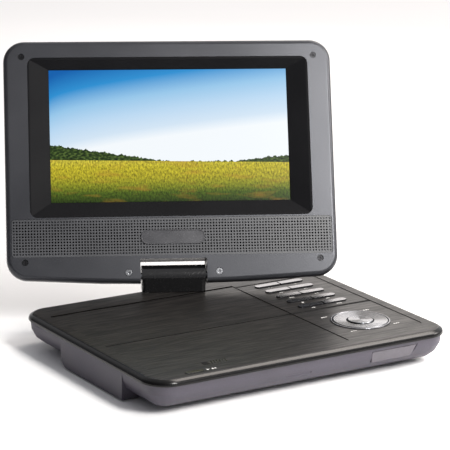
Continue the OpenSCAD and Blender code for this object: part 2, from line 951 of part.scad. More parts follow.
module swivel_shaft() {
  color("#b9bcc1")
    at_swivel()
      difference() {
        translate([0, 0, seam_z - 5.4])
          cylinder(r = swivel_r, h = top_z - seam_z + 5.4 + 1.6, $fn = 64);
        translate([0, 0, 0])
          cylinder(r = swivel_r - 1.2, h = 60, $fn = 64);
      }
}

module swivel_clip() {
  color("#8e9196")
    at_swivel()
      difference() {
        translate([0, 0, seam_z - 4.4])
          cylinder(r = swivel_r + 1.2, h = 0.9, $fn = 64);
        cylinder(r = swivel_r, h = 60, $fn = 64);
        box(-0.8, 0.8, 0, 8, 0, 60);
      }
}

module hinge_block() {
  color("#1a1a1b")
    at_swivel()
      difference() {
        union() {
          translate([0, 0, axis_z])
            x_rod(block_r, -block_w / 2, block_w / 2);
          translate([0, 0, top_z + gap])
            linear_extrude(axis_h - gap)
              rrect(block_w, 2 * block_r, 2.5);
        }
        for (sx = [-1, 1])
          translate([0, 0, axis_z])
            x_rod(shaft_r + run, sx > 0 ? 9 : -block_w / 2 - 1, sx > 0 ? block_w / 2 + 1 : -9);
        // Socket of the swivel shaft and channel for the wiring
        cylinder(r = swivel_r, h = top_z + 1.6, $fn = 64);
        cylinder(r = swivel_r - 1.2, h = axis_z, $fn = 64);
        // Seat of the rear cap
        box(-block_w / 2 + 3, block_w / 2 - 3, block_r - 1.4, block_r + 1,
            top_z + 1.6, axis_z + 1.4);
      }
}

module block_cap() {
  color("#232324")
    at_swivel()
      difference() {
        box(-block_w / 2 + 3.1, block_w / 2 - 3.1, block_r - 1.4, block_r - 0.1,
            top_z + 1.7, axis_z + 1.3);
        for (sx = [-1, 1])
          translate([sx * 12, 0, top_z + 6])
            y_rod(1.5, block_r - 0.8, block_r + 2);
      }
}

module tilt_shafts() {
  color("#9da0a5")
    at_screen()
      for (m = [0, 1])
        mirror([m, 0, 0]) {
          x_rod(shaft_r, 9.4, notch_w / 2 + 4);
          box(notch_w / 2 + 2.3, notch_w / 2 + 4.1, seam_y + 0.4, seam_y + 3.8, 0.6, 13);
        }
}

// ---------------------------------------------------------------- screen

module corner_disc(r, y0, y1, round, front) {
  // Flat disc whose front or rear edge is rounded, turned to face the viewer
  ys = front ? y0 : y1;
  rotate([90, 0, 0])
    rotate_extrude($fn = 48)
      polygon(concat(
        [[0, front ? -y1 : -y0], [r, front ? -y1 : -y0]],
        [for (a = [0:15:90])
          front
            ? [r - round + round * cos(a), -y0 - round + round * sin(a)]
            : [r - round + round * cos(a), -y1 + round - round * sin(a)]],
        [[0, -ys]]
      ));
}

module housing_hull(y0, y1, round, front) {
  // The housing's outline: square top corners and a gently bowed lower edge
  r = scr_r;
  xs = scr_w / 2 - r;
  hull() {
    for (sx = [-1, 1])
      translate([sx * xs, 0, scr_top - r])
        corner_disc(r, y0, y1, round, front);
    for (k = [-2:2])
      translate([xs * k / 2, 0, -scr_bot + scr_bow * pow(k / 2, 2) + r])
        corner_disc(r, y0, y1, round, front);
  }
}

module screen_pocket(inset, y0, y1) {
  // Hollow of the housing, clear of the hinge notch
  y_plate(y0, y1)
    difference() {
      translate([0, (scr_top - scr_bot + scr_bow) / 2])
        rrect(scr_w - 2 * inset, scr_top + scr_bot - scr_bow - 2 * inset, scr_r - 4);
      translate([-notch_w / 2 - 2, -scr_bot - 10])
        square([notch_w + 4, notch_z + scr_bot + 11.4]);
    }
}

corner_screws = [
  [-scr_w / 2 + 11.4, scr_top - 10.4], [scr_w / 2 - 11.4, scr_top - 10.4],
  [-scr_w / 2 + 11.6, 8.8], [scr_w / 2 - 11.6, 8.8]
];
spk_x = scr_w / 2 - 36;
hinge_screw_at = [[-notch_w / 2 - 7.7, 1.4], [notch_w / 2 + 7.7, 1.4]];
cs_r = 1.1;

module notch() {
  box(-notch_w / 2, notch_w / 2, -half_t - 1, half_t + 1, -scr_bot - 5, notch_z);
}

module screw_bosses(y0, y1, r) {
  for (p = concat(corner_screws, hinge_screw_at))
    translate([p[0], 0, p[1]])
      y_rod(r, y0, y1);
}

module front_housing() {
  color("#5d5c60")
    at_screen()
      difference() {
        housing_hull(-half_t, seam_y, edge_f, true);
        difference() {
          screen_pocket(2.4, -half_t + 2, seam_y + 1);
          screw_bosses(-half_t, seam_y + 2, 3);
          // Frame around the display opening and the grille
          y_plate(-half_t, seam_y + 2)
            translate([0, (open_z0 + open_z1) / 2])
              square([open_w + 4, open_z1 - open_z0 + 4], center = true);
        }
        y_plate(-half_t - 1, seam_y + 1)
          translate([0, (open_z0 + open_z1) / 2])
            rrect(open_w, open_z1 - open_z0, 5);
        y_plate(-half_t - 1, -half_t + 1.4)
          translate([0, (grille_z0 + grille_z1) / 2])
            rrect(grille_w, grille_z1 - grille_z0, 2);
        y_plate(-half_t - 1, seam_y + 1)
          translate([0, (grille_z0 + grille_z1) / 2])
            rrect(grille_w - 6, grille_z1 - grille_z0 - 5, 2);
        notch();
        x_rod(shaft_r + 0.3, -notch_w / 2 - 4.4, notch_w / 2 + 4.4);
        screw_bosses(-half_t - 1, seam_y + 1, cs_r + 0.05);
        for (p = corner_screws)
          translate([p[0], 0, p[1]])
            y_rod(2.1, -half_t - 1, -half_t + 1.6);
        for (p = hinge_screw_at)
          translate([p[0], 0, p[1]])
            y_rod(2.3, -half_t - 1, -half_t + 1.2);
      }
}

module rear_cover() {
  color("#37363a")
    at_screen()
      difference() {
        housing_hull(seam_y, half_t, edge_b, false);
        difference() {
          union() {
            screen_pocket(2.6, seam_y - 1, seam_y + 4);
            screen_pocket(6.4, seam_y, half_t - 2.2);
          }
          screw_bosses(seam_y - 2, half_t, 3);
        }
        notch();
        x_rod(shaft_r + 0.3, -notch_w / 2 - 4.4, notch_w / 2 + 4.4);
        screw_bosses(seam_y - 1, seam_y + 4.6, cs_r);
        // Vent slots behind the speakers
        for (sx = [-1, 1], k = [-3:3])
          translate([sx * spk_x + 4 * k, 0, 0])
            box(-0.8, 0.8, 0, half_t + 1, 17, 31);
      }
}

module display_frame() {
  color("#0d0d0f")
    at_screen()
      difference() {
        y_plate(-half_t + 0.4, lcd_y)
          translate([0, (open_z0 + open_z1) / 2])
            rrect(open_w - 0.2, open_z1 - open_z0 - 0.2, 4.9);
        // Funnel from the opening down to the picture area
        hull() {
          translate([0, -half_t + 0.3, (open_z0 + open_z1) / 2])
            cube([open_w - 2.4, 0.1, open_z1 - open_z0 - 2.4], center = true);
          translate([0, lcd_y - 0.9, lcd_z])
            cube([lcd_w + 0.4, 0.1, lcd_h + 0.4], center = true);
        }
        box(-lcd_w / 2 - 0.2, lcd_w / 2 + 0.2, -half_t, lcd_y + 1,
            lcd_z - lcd_h / 2 - 0.2, lcd_z + lcd_h / 2 + 0.2);
      }
}

module lcd_panel() {
  color("#6fa8d8")
    at_screen()
      box(-lcd_w / 2 - 5.4, lcd_w / 2 + 5.4, lcd_y, lcd_y + 5.6,
          lcd_z - lcd_h / 2 - 7, lcd_z + lcd_h / 2 + 6);
}

module speaker_grille() {
  gz = (grille_z0 + grille_z1) / 2;
  color("#55565b")
    at_screen()
      difference() {
        y_plate(-half_t + 0.3, -half_t + 1.4)
          translate([0, gz])
            rrect(grille_w - 0.2, grille_z1 - grille_z0 - 0.2, 1.9);
        for (sx = [-1, 1], i = [-4:4], j = [-3:3])
          translate([sx * spk_x + 2.6 * i, 0, gz + 2.6 * j])
            y_rod(0.6, -half_t - 1, -half_t + 3);
      }
}

module badge() {
  color("#8c8d91")
    at_screen()
      y_plate(-half_t - 0.2, -half_t + 0.3)
        translate([0, (grille_z0 + grille_z1) / 2 - 0.2])
          difference() {
            rrect(41.4, 9.4, 4.6);
            rrect(39.8, 7.8, 3.8);
          }
}

module speakers() {
  color("#2b2b2e")
    at_screen()
      for (sx = [-1, 1])
        translate([sx * spk_x, 0, (grille_z0 + grille_z1) / 2])
          difference() {
            union() {
              y_rod(10.8, -half_t + 3.2, -half_t + 6);
              y_rod(7, -half_t + 6, half_t - 3);
            }
            y_rod(9.2, -half_t + 3, -half_t + 4.6);
          }
}

module lcd_board() {
  color("#1f6b46")
    at_screen() {
      box(-56, 56, lcd_y + 5.8, lcd_y + 7, lcd_z - 39, lcd_z + 27);
      box(-30, -12, lcd_y + 7, lcd_y + 8.4, lcd_z - 21, lcd_z - 3);
      box(10, 34, lcd_y + 7, lcd_y + 8.2, lcd_z - 7, lcd_z + 7);
    }
}

module screw_set(points, head_r, y_head, shade) {
  color(shade)
    at_screen()
      for (p = points)
        translate([p[0], 0, p[1]])
          difference() {
            union() {
              y_rod(head_r, y_head, y_head + 0.9);
              y_rod(cs_r - 0.02, y_head, seam_y + 4.5);
            }
            for (a = [0, 90])
              rotate([0, a, 0])
                translate([-head_r * 0.6, y_head - 0.1, -0.2])
                  cube([head_r * 1.2, 0.6, 0.4]);
          }
}

module front_screws() {
  screw_set(corner_screws, 1.9, -half_t + 0.7, "#3a3a3c");
}

module hinge_screws() {
  screw_set(hinge_screw_at, 2.1, -half_t + 0.3, "#d9dadc");
}

bottom_case();
top_case();
control_plate();
deck_plate();
main_board();
battery_pack();
mech_chassis();
spindle_motor();
sled_rails();
sled_motor();
dampers();
key_board();
dome_switches();
rubber_feet();
case_screws();
dc_jack();
round_jack(hp_y, "#1d1d1f");  // headphone_jack
round_jack(av_y, "#c9a93a");  // av_jack
usb_port();
ir_window();
hinge_plate();
dpad_frame();
disc_lid();
lid_latch();
open_button();
rotor();
disc_hub();
pickup_sled();
pickup_lens();
lead_screw();
key(0, -1);  // key_1_left
key(0, 1);  // key_1_right
key(1, -1);  // key_2_left
key(1, 1);  // key_2_right
key(2, -1);  // key_3_left
key(2, 1);  // key_3_right
key(3, -1);  // key_4_left
key(3, 1);  // key_4_right
key(4, -1);  // key_5_left
key(4, 1);  // key_5_right
dpad_ring();
ok_button();
power_switch();
volume_wheel();
hinge_block();
block_cap();
swivel_shaft();
swivel_clip();
front_housing();
rear_cover();
display_frame();
lcd_panel();
speaker_grille();
badge();
speakers();
lcd_board();
front_screws();
hinge_screws();
tilt_shafts();
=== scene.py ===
import json
import math
import bmesh
import bpy
from mathutils import Matrix, Vector


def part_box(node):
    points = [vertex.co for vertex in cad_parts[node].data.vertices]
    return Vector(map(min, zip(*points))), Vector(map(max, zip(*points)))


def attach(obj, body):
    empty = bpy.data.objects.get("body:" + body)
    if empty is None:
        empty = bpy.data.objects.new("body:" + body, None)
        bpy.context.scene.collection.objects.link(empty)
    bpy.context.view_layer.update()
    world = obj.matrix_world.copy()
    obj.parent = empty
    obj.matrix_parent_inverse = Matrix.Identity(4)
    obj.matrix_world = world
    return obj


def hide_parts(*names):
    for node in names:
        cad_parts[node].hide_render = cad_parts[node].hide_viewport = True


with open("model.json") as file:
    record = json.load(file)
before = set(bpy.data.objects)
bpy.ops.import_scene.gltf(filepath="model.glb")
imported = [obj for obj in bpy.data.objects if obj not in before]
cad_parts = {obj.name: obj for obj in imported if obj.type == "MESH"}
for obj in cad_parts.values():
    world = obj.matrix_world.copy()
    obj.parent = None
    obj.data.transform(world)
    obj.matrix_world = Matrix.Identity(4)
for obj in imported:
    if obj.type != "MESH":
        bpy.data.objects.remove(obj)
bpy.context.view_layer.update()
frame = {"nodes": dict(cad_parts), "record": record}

MM = 0.001


# ---------------------------------------------------------------- studio
# A pale matt sweep, a long lens a little above the table and four soft boxes.
# The first two stand close at the right, so the right edges come out brightest.

def linear(code):
    # sRGB hex to the linear colour that the shaders take
    parts = [int(code[i:i + 2], 16) / 255 for i in (1, 3, 5)]
    light = [p / 12.92 if p <= 0.04045 else ((p + 0.055) / 1.055) ** 2.4 for p in parts]
    return (*light, 1.0)


def add(tree, kind, settings=None, feeds=None):
    # One node with its settings, and its sockets either set or linked
    n = tree.nodes.new(kind)
    for key, value in (settings or {}).items():
        setattr(n, key, value)
    for key, value in (feeds or {}).items():
        if isinstance(value, bpy.types.NodeSocket):
            tree.links.new(value, n.inputs[key])
        else:
            n.inputs[key].default_value = value
    return n


def start_finish(name):
    # An empty finish: its node tree, its shader and the piece's own metres
    finish = bpy.data.materials.new(name)
    finish.use_nodes = True
    tree = finish.node_tree
    tree.nodes.clear()
    skin = add(tree, "ShaderNodeBsdfPrincipled")
    add(tree, "ShaderNodeOutputMaterial", {}, {"Surface": skin.outputs[0]})
    return finish, tree, skin, add(tree, "ShaderNodeTexCoord").outputs["Object"]


# Matt painted board: almost white, with the faint mottle of a roller
sweep_paint, t, skin, place = start_finish("matt_painted_board")
mottle = add(t, "ShaderNodeTexNoise", {}, {"Vector": place, "Scale": 3.0, "Detail": 3.0})
tone = add(t, "ShaderNodeMix", {"data_type": "RGBA"},
           {0: mottle.outputs[0], 6: linear("#f6f6f6"), 7: linear("#fafafa")})
t.links.new(tone.outputs[2], skin.inputs["Base Color"])
skin.inputs["Roughness"].default_value = 0.85
skin.inputs["Specular IOR Level"].default_value = 0.2

sheet = bpy.data.meshes.new("studio_floor")
sheet.from_pydata([(-9, -9, 0), (9, -9, 0), (9, 9, 0), (-9, 9, 0)], [], [(0, 1, 2, 3)])
studio_floor = bpy.data.objects.new("studio_floor", sheet)
bpy.context.scene.collection.objects.link(studio_floor)
sheet.materials.append(sweep_paint)

lens = bpy.data.cameras.new("camera")
lens.sensor_width = 36.0
lens.lens = 188.023
lens.clip_start = 0.05
camera = bpy.data.objects.new("camera", lens)
bpy.context.scene.collection.objects.link(camera)
right = Vector((0.84546263, -0.53386522, 0.0134491))
up = Vector((0.12711402, 0.22563824, 0.96588271))
back = Vector((-0.51868581, -0.81490816, 0.25863045))
camera.matrix_world = Matrix((
    (right.x, up.x, back.x, -0.74806),
    (right.y, up.y, back.y, -1.16252),
    (right.z, up.z, back.z, 0.45244),
    (0, 0, 0, 1)))
bpy.context.scene.camera = camera
bpy.context.scene.view_settings.view_transform = "Standard"

for label, where, aim, width, height, watts, tint in (
        ("right_box", (0.06, -0.5, 0.47), (0.13, -0.02, 0.13), 0.14, 0.3, 5.2, "#fdfbf8"),
        ("side_box", (0.34, -0.14, 0.32), (0.1, 0.02, 0.13), 0.14, 0.3, 1.6, "#fdf7f2"),
        ("rear_box", (0.72, 0.78, 0.36), (0.08, -0.02, 0.02), 0.5, 0.3, 0.8, "#fff4ea"),
        ("high_box", (1.15, 0.4, 1.9), (0, 0, 0), 0.9, 0.9, 24.0, "#fff6ee")):
    lamp = bpy.data.lights.new(label, "AREA")
    lamp.shape = "RECTANGLE"
    lamp.size, lamp.size_y = width, height
    lamp.energy = watts
    lamp.color = linear(tint)[:3]
    holder = bpy.data.objects.new(label, lamp)
    holder.location = where
    holder.rotation_euler = (Vector(aim) - Vector(where)).to_track_quat("-Z", "Y").to_euler()
    bpy.context.scene.collection.objects.link(holder)

sky = bpy.data.worlds.new("studio_fill")
sky.use_nodes = True
# The fill is dimmer from the left, where the studio's dark wall stands
t = sky.node_tree
aim = add(t, "ShaderNodeSeparateXYZ", {},
    {"Vector": add(t, "ShaderNodeTexCoord").outputs["Generated"]})
across = add(t, "ShaderNodeMapRange", {"interpolation_type": "SMOOTHSTEP"}, {
    "Value": aim.outputs["X"], "From Min": -0.9, "From Max": 0.7})
fill = add(t, "ShaderNodeMix", {"data_type": "RGBA"}, {
    0: across.outputs[0], 6: linear("#6a6a70"), 7: linear("#fafafc")})
t.links.new(fill.outputs[2], t.nodes["Background"].inputs["Color"])
t.nodes["Background"].inputs["Strength"].default_value = 0.95
bpy.context.scene.world = sky


# ---------------------------------------------------------------- lower case
# Injection-moulded ABS tub in grey with a spark-eroded texture. It carries
# the boards and the drive, and six screws from below hold it to the top case.

def moulded_plastic(name, dark, light, rough, grain, relief, cloud=40.0, shader=None):
    # Moulded plastic: grain in mm across, relief in mm, slow clouds in mm, and
    # what else its shader needs
    finish, tree, skin, place = start_finish(name)
    pits = add(tree, "ShaderNodeTexNoise", {}, {
        "Vector": place, "Scale": 1 / (grain * MM), "Detail": 2.0, "Roughness": 0.6})
    drift = add(tree, "ShaderNodeTexNoise", {}, {
        "Vector": place, "Scale": 1 / (cloud * MM), "Detail": 3.0, "Roughness": 0.5})
    both = add(tree, "ShaderNodeMix", {"data_type": "FLOAT"}, {
        0: 0.45, 2: drift.outputs[0], 3: pits.outputs[0]})
    tone = add(tree, "ShaderNodeMapRange", {}, {
        "Value": both.outputs[0], "From Min": 0.36, "From Max": 0.64})
    colour = add(tree, "ShaderNodeMix", {"data_type": "RGBA"}, {
        0: tone.outputs[0], 6: linear(dark), 7: linear(light)})
    sheen = add(tree, "ShaderNodeMapRange", {}, {
        "Value": drift.outputs[0], "From Min": 0.3, "From Max": 0.7,
        "To Min": rough - 0.05, "To Max": rough + 0.05})
    bump = add(tree, "ShaderNodeBump", {}, {
        "Strength": 0.6, "Distance": relief * MM, "Height": pits.outputs[0]})
    for socket, source in (("Base Color", colour.outputs[2]), ("Roughness", sheen.outputs[0]),
                           ("Normal", bump.outputs[0])):
        tree.links.new(source, skin.inputs[socket])
    for socket, value in (shader or {}).items():
        skin.inputs[socket].default_value = value
    return finish


def smooth_by_angle(mesh, degrees):
    mesh.shade_smooth()
    mesh.set_sharp_from_angle(angle=math.radians(degrees))


def place_piece(name, mesh, body, finish, *nodes, slot=None):
    # Puts a finished mesh in the scene on its body, in place of its CAD nodes
    mesh.name = name
    piece = bpy.data.objects.new(name, mesh)
    bpy.context.scene.collection.objects.link(piece)
    mesh.materials.clear()
    mesh.materials.append(finish)
    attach(piece, body)
    if nodes:
        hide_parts(*nodes)
    return piece


def body_holding(node):
    return next(b for b, held in frame["record"]["behaviour"]["bodies"].items() if node in held)


def level_faces(mesh):
    # Shading follows the large faces, so a flat wall looks flat right up to
    # the rolled edge beside it
    holder = bpy.data.objects.new("draft", mesh)
    bpy.context.scene.collection.objects.link(holder)
    level = holder.modifiers.new("level", "WEIGHTED_NORMAL")
    level.keep_sharp = True
    level.weight = 90
    levelled = bpy.data.meshes.new_from_object(
        holder.evaluated_get(bpy.context.evaluated_depsgraph_get()))
    bpy.data.objects.remove(holder)
    mesh.clear_geometry()
    draft = bmesh.new()
    draft.from_mesh(levelled)
    draft.to_mesh(mesh)
    draft.free()
    mesh.normals_split_custom_set([tuple(n.vector) for n in levelled.corner_normals])
    bpy.data.meshes.remove(levelled)


def round_rim(solid, lower, corner=16.0, slope=3.2, roundness=1.3):
    # Rounds both long edges of the slope round the top case: the one at its
    # top and the one at the height `lower`. corner is the outline's radius
    top, reach_x, reach_y = (max(v.co[axis] for v in solid.verts) for axis in (2, 0, 1))

    def near_outline(v, inset):
        x, y = abs(v.co.x) - reach_x, abs(v.co.y) - reach_y
        into_x, into_y = x + corner * MM, y + corner * MM
        at_corner = into_x > 0 and into_y > 0 and math.hypot(into_x, into_y) > (corner - inset) * MM
        return x > -inset * MM or y > -inset * MM or at_corner

    for height, band, inset in ((top, 0.15, slope + 1.1), (lower * MM, 0.05, 0.6)):
        around = [v for v in solid.verts
                  if abs(v.co.z - height) < band * MM and near_outline(v, inset)]
        if height == top:
            # The upright step of 0.1 mm at the top of the slope is closed up
            for v in around:
                v.co.z = top
            bmesh.ops.remove_doubles(solid, verts=around, dist=0.02 * MM)
            around = [v for v in around if v.is_valid]
        held = set(around)
        loop = [e for e in solid.edges if e.verts[0] in held and e.verts[1] in held
                and len(e.link_faces) == 2 and e.calc_face_angle(0) > math.radians(12)]
        bmesh.ops.bevel(solid, geom=loop, offset=roundness * MM, segments=5, profile=0.5,
                        affect="EDGES", clamp_overlap=True)


def rolled_edges(node, edge, finish, name, keep=28.0, smooth=32.0, steps=2, rim=None):
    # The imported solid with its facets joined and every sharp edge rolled
    # over by edge mm, as a mould or a polishing wheel leaves it. rim is the
    # height of the lower edge of a sloped rim, which is rounded first
    solid = bmesh.new()
    solid.from_mesh(frame["nodes"][node].data)
    bmesh.ops.remove_doubles(solid, verts=solid.verts, dist=2e-6)
    bmesh.ops.dissolve_limit(solid, angle_limit=math.radians(0.8), verts=solid.verts,
                             edges=solid.edges, delimit={"NORMAL"})
    if rim:
        round_rim(solid, rim)
    draft = bpy.data.meshes.new("draft")
    solid.to_mesh(draft)
    solid.free()
    holder = bpy.data.objects.new("draft", draft)
    bpy.context.scene.collection.objects.link(holder)
    roll = holder.modifiers.new("roll", "BEVEL")
    roll.width = edge * MM
    roll.segments = steps
    roll.limit_method = "ANGLE"
    roll.angle_limit = math.radians(keep)
    roll.use_clamp_overlap = True
    roll.miter_outer = "MITER_ARC"
    shaped = bpy.data.meshes.new_from_object(
        holder.evaluated_get(bpy.context.evaluated_depsgraph_get()))
    bpy.data.objects.remove(holder)
    smooth_by_angle(shaped, smooth)
    level_faces(shaped)
    return place_piece(name, shaped, body_holding(node), finish, node)


# Grey ABS, spark-eroded tool: dull, with a soft violet cast; the 0.3 mm grit
# is drawn at 0.6 mm so that it shows
grey_abs = moulded_plastic("textured_grey_abs", "#3b3741", "#46424d", 0.5, 0.6, 0.05)
rolled_edges("bottom_case", 0.35, grey_abs, "lower_case_shell")


# ---------------------------------------------------------------- feet and case screws
# Four moulded rubber feet pressed into pockets, and six zinc-plated cross
# head screws sunk into the floor of the case.

# Moulded rubber: very matt, with the bloom that comes up on black rubber
foot_rubber = moulded_plastic("moulded_black_rubber", "#1b1a1c", "#2c2a2d", 0.85, 0.5, 0.04, 9.0)
rolled_edges("rubber_feet", 0.3, foot_rubber, "rubber_foot_set")


def drawn_metal(name, dark, light, rough, line, along, across, relief=0.02):
    # Metal worked along one axis: marks line mm wide and longer by `across`
    finish, tree, skin, place = start_finish(name)
    scale = Vector((1, 1, 1)) / (line * MM)
    scale[along] = scale[along] / across
    worked = add(tree, "ShaderNodeMapping", {}, {"Vector": place, "Scale": scale})
    marks = add(tree, "ShaderNodeTexNoise", {}, {
        "Vector": worked.outputs[0], "Scale": 1.0, "Detail": 3.0, "Roughness": 0.65})
    tone = add(tree, "ShaderNodeMapRange", {}, {
        "Value": marks.outputs[0], "From Min": 0.3, "From Max": 0.7})
    colour = add(tree, "ShaderNodeMix", {"data_type": "RGBA"}, {
        0: tone.outputs[0], 6: linear(dark), 7: linear(light)})
    sheen = add(tree, "ShaderNodeMapRange", {}, {
        "Value": marks.outputs[0], "From Min": 0.3, "From Max": 0.7,
        "To Min": rough + 0.08, "To Max": rough - 0.06})
    bump = add(tree, "ShaderNodeBump", {}, {
        "Strength": 0.25, "Distance": relief * MM, "Height": marks.outputs[0]})
    for socket, source in (("Base Color", colour.outputs[2]), ("Roughness", sheen.outputs[0]),
                           ("Normal", bump.outputs[0])):
        tree.links.new(source, skin.inputs[socket])
    skin.inputs["Metallic"].default_value = 1.0
    return finish


def coat_nodes(finish, *nodes):
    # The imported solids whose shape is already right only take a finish
    for node in nodes:
        slots = frame["nodes"][node].data.materials
        if len(slots):
            for i in range(len(slots)):
                slots[i] = finish
        else:
            slots.append(finish)


# Bright zinc plate: pale, slightly blue, turned marks across the heads
zinc_plate = drawn_metal("bright_zinc_plate", "#9a9da3", "#c9ccd2", 0.28, 0.3, 0, 6.0)
coat_nodes(zinc_plate, "case_screws")


# ---------------------------------------------------------------- sockets, switch and wheel
# Moulded jacks, a sliding power switch and a ribbed thumb wheel look out of
# the right wall. The picture output has a yellow insert, as is usual.

# Black glass-filled nylon of the jacks: semi-matt, with short fibre marks
jack_nylon = moulded_plastic("black_glass_filled_nylon", "#131315", "#222225", 0.42, 0.35, 0.02,
    8.0)
coat_nodes(jack_nylon, "dc_jack", "headphone_jack", "power_switch", "lid_latch", "disc_hub")
rolled_edges("volume_wheel", 0.12, jack_nylon, "ribbed_volume_wheel", keep=50)
# Yellow PBT insert: glossy and even
yellow_insert = moulded_plastic("yellow_moulded_insert", "#b98a12", "#d6a520", 0.3, 0.5, 0.01, 8.0)
coat_nodes(yellow_insert, "av_jack")
# Nickel-plated folded sheet of the port
nickel_sheet = drawn_metal("nickel_plated_sheet", "#8d8f93", "#c4c6c9", 0.26, 0.25, 0, 18.0)
coat_nodes(nickel_sheet, "usb_port")


# ---------------------------------------------------------------- receiver window
# Smoked acrylic pane behind the opening in the front wall; the receiver for
# the remote sits behind it.

# Smoked acrylic: glossy dark violet that shows nothing behind it
smoked_acrylic = moulded_plastic("smoked_acrylic", "#3f3b43", "#49444d", 0.2, 3.0, 0.004, 30.0,
                                 {"Coat Weight": 0.6, "Coat Roughness": 0.06})
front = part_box("ir_window")
pane = bmesh.new()
# The pane fills the opening almost flush. Its right end slants, and its outer
# face leans in at the bottom like the wall around it
for y, proud in ((front[0].y, (0.2, 0.95)), (front[1].y, (0.0, 0.0))):
    for x, z, lift in ((front[0].x, front[0].z, 0), (front[1].x - 4.45 * MM, front[0].z, 0),
                       (front[1].x, front[1].z, 1), (front[0].x, front[1].z, 1)):
        pane.verts.new((x, y - proud[lift] * MM, z))
pane.verts.ensure_lookup_table()
for order in ((0, 1, 2, 3), (7, 6, 5, 4), (0, 4, 5, 1), (1, 5, 6, 2), (2, 6, 7, 3), (3, 7, 4, 0)):
    pane.faces.new([pane.verts[k] for k in order])
bmesh.ops.recalc_face_normals(pane, faces=pane.faces)
bmesh.ops.bevel(pane, geom=pane.edges[:], offset=0.35 * MM, segments=2, affect="EDGES")
mesh = bpy.data.meshes.new("receiver_window")
pane.to_mesh(mesh)
pane.free()
smooth_by_angle(mesh, 30)
place_piece("receiver_window", mesh, "base", smoked_acrylic, "ir_window", slot="window_plastic")


# ---------------------------------------------------------------- top case, plate and lid skins
# ABS frame with a sloped glossy rim. Its top, the control plate and the lid
# carry the same dark decorative film with a hairline brushed from side to side.

def brushed_film(name, rim_height=None, groove_shade_half=None):
    # Printed and embossed film: broken hairlines 0.5 to 1 mm wide and 10 to
    # 30 mm long; below rim_height mm the plain gloss rim shows instead, and
    # the cross groove, last argument mm to each side, gets painted shade: near black and dull
    finish, tree, skin, place = start_finish(name)
    marks = []
    for wide, long, detail in ((0.75, 16.0, 3.0), (0.35, 30.0, 2.0), (2.6, 60.0, 2.0)):
        worked = add(tree, "ShaderNodeMapping", {}, {
            "Vector": place, "Scale": (1 / (long * MM), 1 / (wide * MM), 1 / (wide * MM))})
        marks.append(add(tree, "ShaderNodeTexNoise", {}, {
            "Vector": worked.outputs[0], "Scale": 1.0, "Detail": detail,
            "Roughness": 0.6}).outputs[0])
    pair = add(tree, "ShaderNodeMix", {"data_type": "FLOAT"}, {0: 0.4, 2: marks[0], 3: marks[1]})
    lines = add(tree, "ShaderNodeMix", {"data_type": "FLOAT"},
        {0: 0.12, 2: pair.outputs[0], 3: marks[2]})
    bright = add(tree, "ShaderNodeMapRange", {"interpolation_type": "SMOOTHSTEP"}, {
        "Value": lines.outputs[0], "From Min": 0.42, "From Max": 0.6})
    colour = add(tree, "ShaderNodeMix", {"data_type": "RGBA"}, {
        0: bright.outputs[0], 6: linear("#060606"), 7: linear("#322f2d")})
    sheen = add(tree, "ShaderNodeMapRange", {}, {
        "Value": bright.outputs[0], "To Min": 0.46, "To Max": 0.36})
    bump = add(tree, "ShaderNodeBump", {}, {
        "Strength": 0.35, "Distance": 0.03 * MM, "Height": lines.outputs[0]})
    colour_out, sheen_out = colour.outputs[2], sheen.outputs[0]
    if rim_height:
        height = add(tree, "ShaderNodeSeparateXYZ", {}, {"Vector": place})
        flat = add(tree, "ShaderNodeMath", {"operation": "GREATER_THAN"}, {
            0: height.outputs["Z"], 1: rim_height * MM})
        colour_out = add(tree, "ShaderNodeMix", {"data_type": "RGBA"}, {
            0: flat.outputs[0], 6: linear("#0d0c0c"), 7: colour_out}).outputs[2]
        sheen_out = add(tree, "ShaderNodeMix", {"data_type": "FLOAT"}, {
            0: flat.outputs[0], 2: 0.22, 3: sheen_out}).outputs[0]
    # Painted shade: the band along the cross groove is coloured near black and dull, standing in
    # for the shade that falls in the groove
    if groove_shade_half:
        depth = add(tree, "ShaderNodeSeparateXYZ", {}, {"Vector": place})
        from_groove = add(tree, "ShaderNodeMath", {"operation": "ADD"},
            {0: depth.outputs["Y"], 1: 8.0 * MM})
        near = add(tree, "ShaderNodeMath", {"operation": "ABSOLUTE"}, {0: from_groove.outputs[0]})
        in_groove_shade = add(tree, "ShaderNodeMath", {"operation": "LESS_THAN"},
            {0: near.outputs[0], 1: groove_shade_half * MM})
        colour_out = add(tree, "ShaderNodeMix", {"data_type": "RGBA"}, {
            0: in_groove_shade.outputs[0], 6: colour_out, 7: linear("#0c0b0b")}).outputs[2]
        sheen_out = add(tree, "ShaderNodeMix", {"data_type": "FLOAT"}, {
            0: in_groove_shade.outputs[0], 2: sheen_out, 3: 0.7}).outputs[0]
    for socket, source in (("Base Color", colour_out), ("Roughness", sheen_out),
                           ("Normal", bump.outputs[0])):
        tree.links.new(source, skin.inputs[socket])
    skin.inputs["Specular IOR Level"].default_value = 0.4
    skin.inputs["Metallic"].default_value = 0.4
    return finish


# The lid's and the plate's cross grooves carry a band of painted shade
lid_film = brushed_film("dark_hairline_film_lid", groove_shade_half=0.75)
plate_film = brushed_film("dark_hairline_film_plate", groove_shade_half=1.5)
rim_foot, flat_top = 20.8, 22.35
rim_film = brushed_film("hairline_film_and_satin_rim", flat_top)
rolled_edges("top_case", 0.3, rim_film, "top_case_frame", keep=28, smooth=30, rim=rim_foot)
rolled_edges("control_plate", 0.22, plate_film, "control_plate_skin", keep=40)
rolled_edges("disc_lid", 0.25, lid_film, "disc_lid_skin", keep=40)


# ---------------------------------------------------------------- marks, catch and open button
# Generic pad-printed marks in pale ink beside the keys, the pad and the
# open button: arrows, bars and squares that say what each control does.

